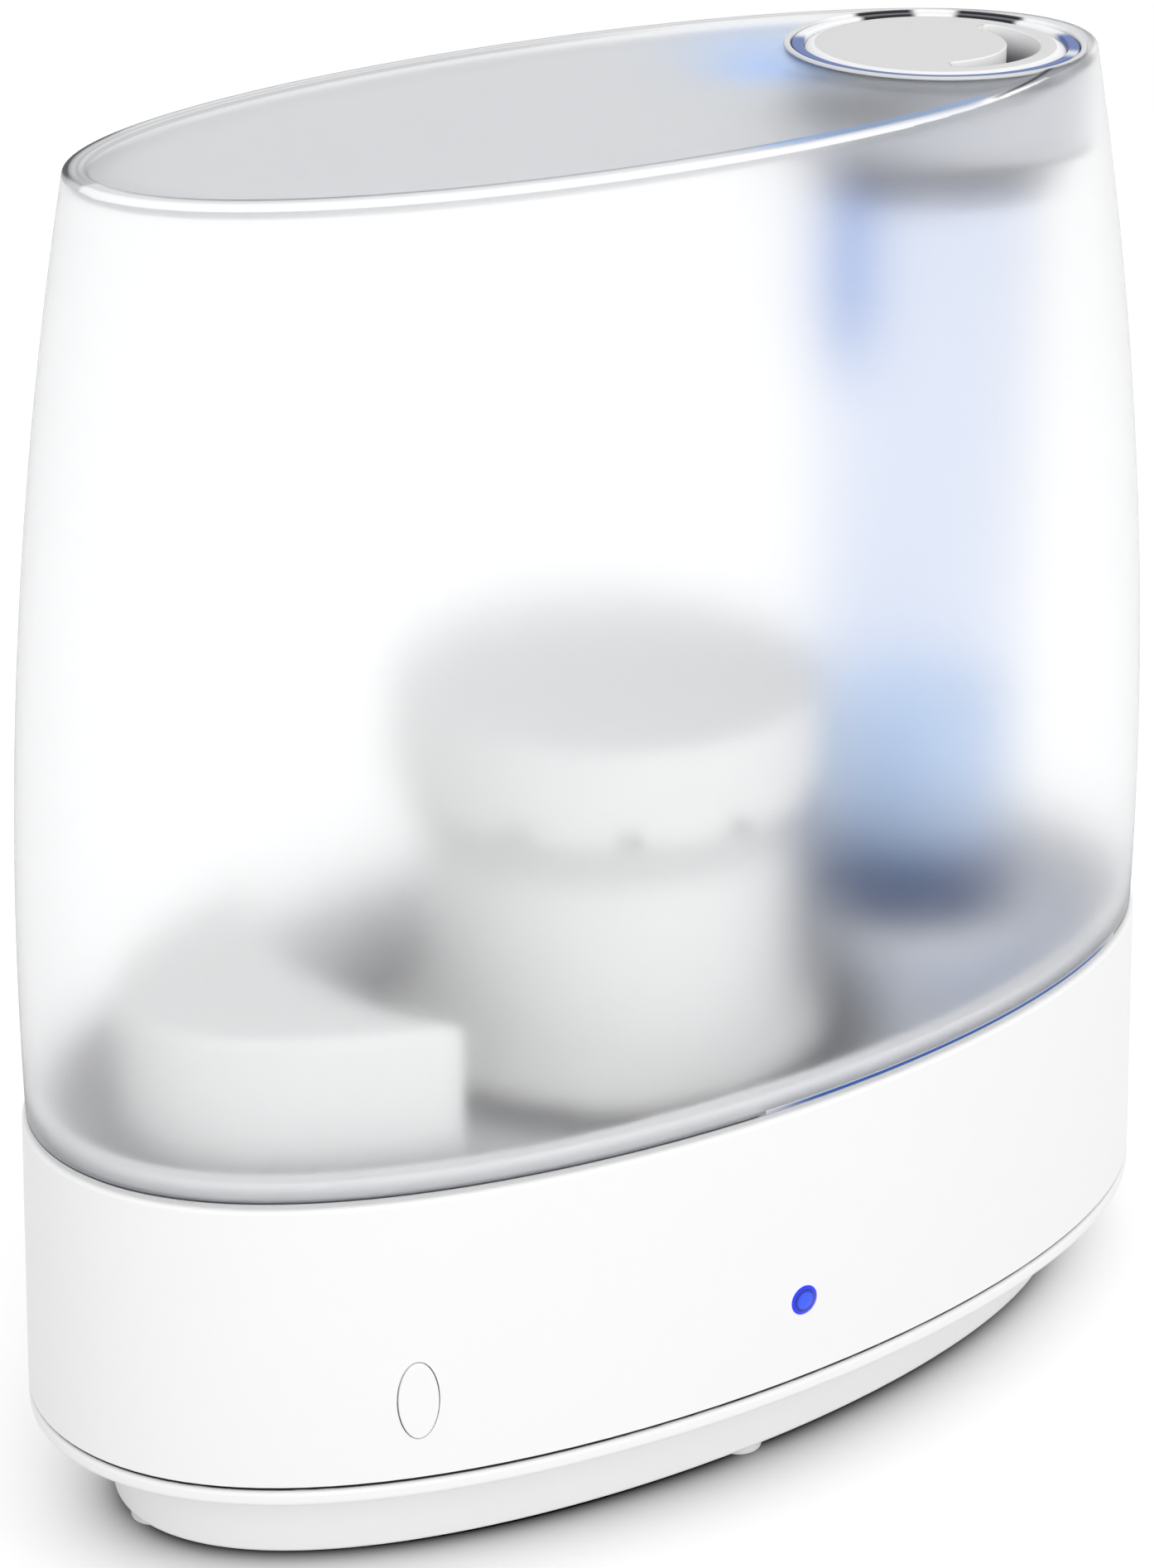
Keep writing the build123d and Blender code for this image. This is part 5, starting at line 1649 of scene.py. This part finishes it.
def finishes() -> dict[str, bpy.types.Material]:
    """Make every finish.

    Returns:
        The materials by name.
    """
    low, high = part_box("status_lamp")
    lamp_middle = (low.x + high.x) / 2, low.y, (low.z + high.z) / 2
    low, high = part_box("nozzle_cap")
    nozzle, plate_level = ((low.x + high.x) / 2, (low.y + high.y) / 2), high.z - PLATE_MARGIN
    made = {
        "frosted": FrostedPlastic("frosted_tank", (0.995, 0.997, 1.0), (0.745, 0.757, 0.772)),
        "rim": RimPlastic("polished_rim", (0.94, 0.945, 0.955)),
        "chimney": ClearPlastic("clear_chimney", (0.87, 0.9, 0.97)),
        "well": ClearPlastic("clear_well", (0.97, 0.975, 1.0), (0.06, 0.16, 0.5), roughness=0.1, ior=1.18),
        "collar": CollarPlastic("lit_collar", (0.86, 0.92, 1.0)),
        "base": ShellPlastic("base_white", (0.93, 0.93, 0.93)),
        "inner": MouldedPlastic("inner_white", (0.86, 0.86, 0.86), 0.5),
        "tank_floor": FloorPlastic("tank_floor", (0.84, 0.84, 0.84), 0.5),
        "nozzle": PlatePlastic("nozzle_white", (0.95, 0.95, 0.95), 0.45, level=plate_level, centre=nozzle),
        "nozzle_cup": MouldedPlastic("nozzle_grey", (0.9, 0.9, 0.91), 0.5),
        "lamp": LensPlastic("lamp_blue", (0.0, 0.005, 0.12), lamp_middle),
        "rubber": SoftRubber("pale_rubber", (0.7, 0.7, 0.7)),
        "steel": DrawnMetal("plated_steel", (0.6, 0.6, 0.62)),
        "disc": DrawnMetal("plated_disc", (0.75, 0.74, 0.7), 0.2),
        "board": CircuitBoard("circuit_board", (0.05, 0.28, 0.12)),
        "black": MouldedPlastic("black_moulding", (0.03, 0.03, 0.032), 0.5),
        "sink": DrawnMetal("extruded_sink", (0.75, 0.76, 0.77), 0.4, (0.04, 1.0, 1.0)),
        "winding": WoundWire("copper_winding", (0.65, 0.33, 0.16)),
        "foam": SoftRubber("float_foam", (0.88, 0.86, 0.78), 0.85),
        "magnet": SoftRubber("sintered_magnet", (0.1, 0.1, 0.11), 0.6),
        "granules": ResinBeads("resin_beads", (0.6, 0.4, 0.15)),
        "valve": MouldedPlastic("valve_plastic", (0.82, 0.84, 0.87), 0.45),
    }
    return {name: finish.make() for name, finish in made.items()}


def dress_nodes(frame: dict, materials: dict[str, bpy.types.Material]) -> None:
    """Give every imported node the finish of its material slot.

    Args:
        frame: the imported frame.
        materials: the finishes by name.
    """
    for row in frame["record"]["subparts"]:
        name = OWN_FINISHES.get(row["node"], NODE_FINISHES.get(row["material_slot"]))
        if name:
            for slot in frame["nodes"][row["node"]].material_slots:
                slot.material = materials[name]


def face(thing: bpy.types.Object, place: Point, aim: Point) -> None:
    """Put a camera or a lamp in the scene, so that it faces a point.

    Args:
        thing: the camera or the lamp.
        place: where it stands.
        aim: the point.
    """
    thing.location = place
    thing.rotation_euler = (Vector(aim) - Vector(place)).to_track_quat("-Z", "Y").to_euler()
    bpy.context.scene.collection.objects.link(thing)


@dataclass(frozen=True)
class Lamp:
    """A round area lamp: its place, the point that it faces, its diameter and its power in watts."""

    name: str
    place: Point
    aim: Point
    size: float
    power: float

    def hang(self) -> bpy.types.Object:
        """Add the lamp to the scene.

        Returns:
            The lamp.
        """
        data = bpy.data.lights.new(self.name, "AREA")
        data.shape = "DISK"
        data.size = self.size
        data.energy = self.power
        lamp = bpy.data.objects.new(self.name, data)
        face(lamp, self.place, self.aim)
        return lamp


@dataclass
class Studio:
    """Camera, floor, world and lamps."""

    camera_place: Point = (-0.4941, -0.6900, 0.5154)
    target: Point = (-0.008779, 0.0, 0.151387)
    focal_pixels: float = 4868.1
    frame_height: float = 1894.0
    sensor: float = 36.0
    clip_end: float = 20.0
    floor_rings: tuple[float, ...] = (1 * MM, 0.25, 0.5, 1.0, 2.0, 3.0)
    floor_columns: int = 96
    floor_share: float = 0.75
    floor_colour: Colour = (0.9, 0.9, 0.9)
    floor_bounce: Colour = (0.58, 0.58, 0.58)
    far_span: Pair = (0.5, 1.6)
    # contact_oval to contact_depth: the painted contact shadow on the floor around the plinth.
    contact_oval: Pair = (132 * MM, 59 * MM)
    contact_width: float = 9 * MM
    contact_depth: float = 0.72
    least_across: float = 0.001
    sky_side: float = 0.87
    sky_top: float = 0.66
    sky_front: float = 1.35
    sky_right: float = 1.22
    right_span: Pair = (-0.2, 1.0)
    switch_on: Pair = (0.2, 0.8)
    switch_off: Pair = (0.9, 0.1)
    tank_shade: float = 0.05
    front_lamp: Lamp = Lamp("front_lamp", (-0.7, -1.3, 0.75), (0.0, 0.0, 0.12), 1.1, 6.0)
    tank_lamp: Lamp = Lamp("tank_lamp", (0.1, -0.97, 0.55), (0.0, 0.0, 0.14), 0.6, 0.98)
    bounces: int = 24
    through_bounces: int = 20
    clear_bounces: int = 12

    def camera(self) -> None:
        """Camera at the photograph's place, with its focal length in frame pixels."""
        data = bpy.data.cameras.new("camera")
        data.sensor_width = self.sensor
        data.lens = self.focal_pixels / self.frame_height * self.sensor
        data.clip_end = self.clip_end
        camera = bpy.data.objects.new("camera", data)
        face(camera, self.camera_place, self.target)
        bpy.context.scene.camera = camera

    def _seen(self, pad: NodePad) -> Signal:
        """Signal for rays that show the background.

        Args:
            pad: the nodes of the world or of a material.

        Returns:
            1 for rays from the camera, in gloss or through clear plastic, before any soft bounce.
        """
        rays = pad.node("ShaderNodeLightPath")
        names = ("Is Camera Ray", "Is Glossy Ray", "Is Transmission Ray", "Diffuse Depth")
        camera, gloss, through, bounces = (Signal(pad, rays.outputs[name]) for name in names)
        return (camera + gloss + through).step(*self.switch_on) * bounces.step(*self.switch_off)

    def world(self) -> None:
        """White where it is seen, and a soft dome of light, weaker overhead, elsewhere."""
        world = bpy.data.worlds.new("studio")
        world.use_nodes = True
        bpy.context.scene.world = world
        pad = NodePad(world.node_tree)
        way = pad.node("ShaderNodeTexCoord").outputs["Generated"]
        parts = pad.node("ShaderNodeSeparateXYZ", None, {"Vector": way})
        right, back, up = (Signal(pad, parts.outputs[name]) for name in "XYZ")
        dome = up.step(0.0, 1.0, self.sky_side, self.sky_top) * back.step(1.0, -1.0, 1.0, self.sky_front)
        dome = dome * right.step(*self.right_span, 1.0, self.sky_right)
        seen = self._seen(pad)
        through = Signal(pad, pad.node("ShaderNodeLightPath").outputs["Is Transmission Ray"])
        level = seen + (1 - seen) * dome * (1 - self.tank_shade * through)
        world.cycles.sampling_method = "NONE"
        sky = pad.node("ShaderNodeBackground", None, {"Color": WHITE, "Strength": level})
        pad.node("ShaderNodeOutputWorld", None, {"Surface": sky.outputs["Background"]})

    def floor(self) -> None:
        """Pale round floor. Where it is seen, part of its white is its own, and the rest takes shadow.

        Around the plinth's oval a painted contact shadow falls off as e to the minus distance over its width.
        """
        rows = len(self.floor_rings)
        profile = np.stack([self.floor_rings, np.zeros(rows)], axis=-1)
        points = turned_points(profile, (0.0, 0.0), self.floor_columns)
        faces = grid_faces(rows, self.floor_columns, False, True)[:, ::-1]
        piece = mesh_piece("floor", points.reshape(-1, 3), faces)
        material = bpy.data.materials.new("studio_floor")
        material.use_nodes = True
        pad = NodePad(material.node_tree)
        seen = self._seen(pad)
        x, y, _ = pad.axes()
        out = (x * x + y * y) ** 0.5
        far = out.step(*self.far_span)
        # Painted contact shadow around the plinth, on the floor's own white and on its colour.
        half_length, half_width = self.contact_oval
        across = ((x / half_length) ** 2 + (y / half_width) ** 2) ** 0.5
        away = out * (1 - 1 / (across + self.least_across))
        open_floor = 1 - self.contact_depth * math.e ** (away / -self.contact_width)
        own_level = seen * open_floor * (1 - self.floor_share)
        own = pad.node("ShaderNodeEmission", None, {"Color": WHITE, "Strength": own_level})
        pale = pad.blend(open_floor, BLACK, self.floor_colour)
        colour = pad.blend(seen, self.floor_bounce, pale)
        plain = pad.node("ShaderNodeBsdfDiffuse", None, {"Color": colour})
        near = pad.node("ShaderNodeAddShader", None, {0: own.outputs[0], 1: plain.outputs[0]})
        white = pad.node("ShaderNodeEmission", None, {"Color": WHITE})
        shaders = {0: far * seen, 1: near.outputs[0], 2: white.outputs[0]}
        mix = pad.node("ShaderNodeMixShader", None, shaders)
        pad.finish(mix.outputs[0])
        material.cycles.emission_sampling = "NONE"
        piece.data.materials.append(material)

    def lamps(self, inside: list[bpy.types.Object]) -> None:
        """A broad soft lamp at the front left, and one that reaches only what stands in the tank.

        Args:
            inside: the pieces in the tank. The frosted wall does not shade them from their lamp.
        """
        self.front_lamp.hang()
        inner = self.tank_lamp.hang()
        lit = bpy.data.collections.new("in_the_tank")
        for piece in inside:
            lit.objects.link(piece)
        inner.light_linking.receiver_collection = lit
        inner.light_linking.blocker_collection = lit

    def build(self) -> None:
        """Build the stage and set the view."""
        self.camera()
        self.world()
        self.floor()
        scene = bpy.context.scene
        scene.view_settings.view_transform = "Standard"
        scene.cycles.use_denoising = True
        scene.cycles.max_bounces = self.bounces
        scene.cycles.transmission_bounces = self.through_bounces
        scene.cycles.transparent_max_bounces = self.clear_bounces


def main() -> None:
    """Build the studio, dress the frame and add the new pieces."""
    logging.basicConfig(level=logging.INFO, format="%(name)s %(message)s")
    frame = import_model()
    studio = Studio()
    studio.build()
    materials = finishes()
    dress_nodes(frame, materials)
    body = Body()
    Tank(body).build(materials)
    Nozzle(body).build(materials)
    studio.lamps([frame["nodes"][name] for name in IN_TANK])
    LOG.info("dressed %d nodes", len(frame["nodes"]))


if __name__ == "__main__":
    main()
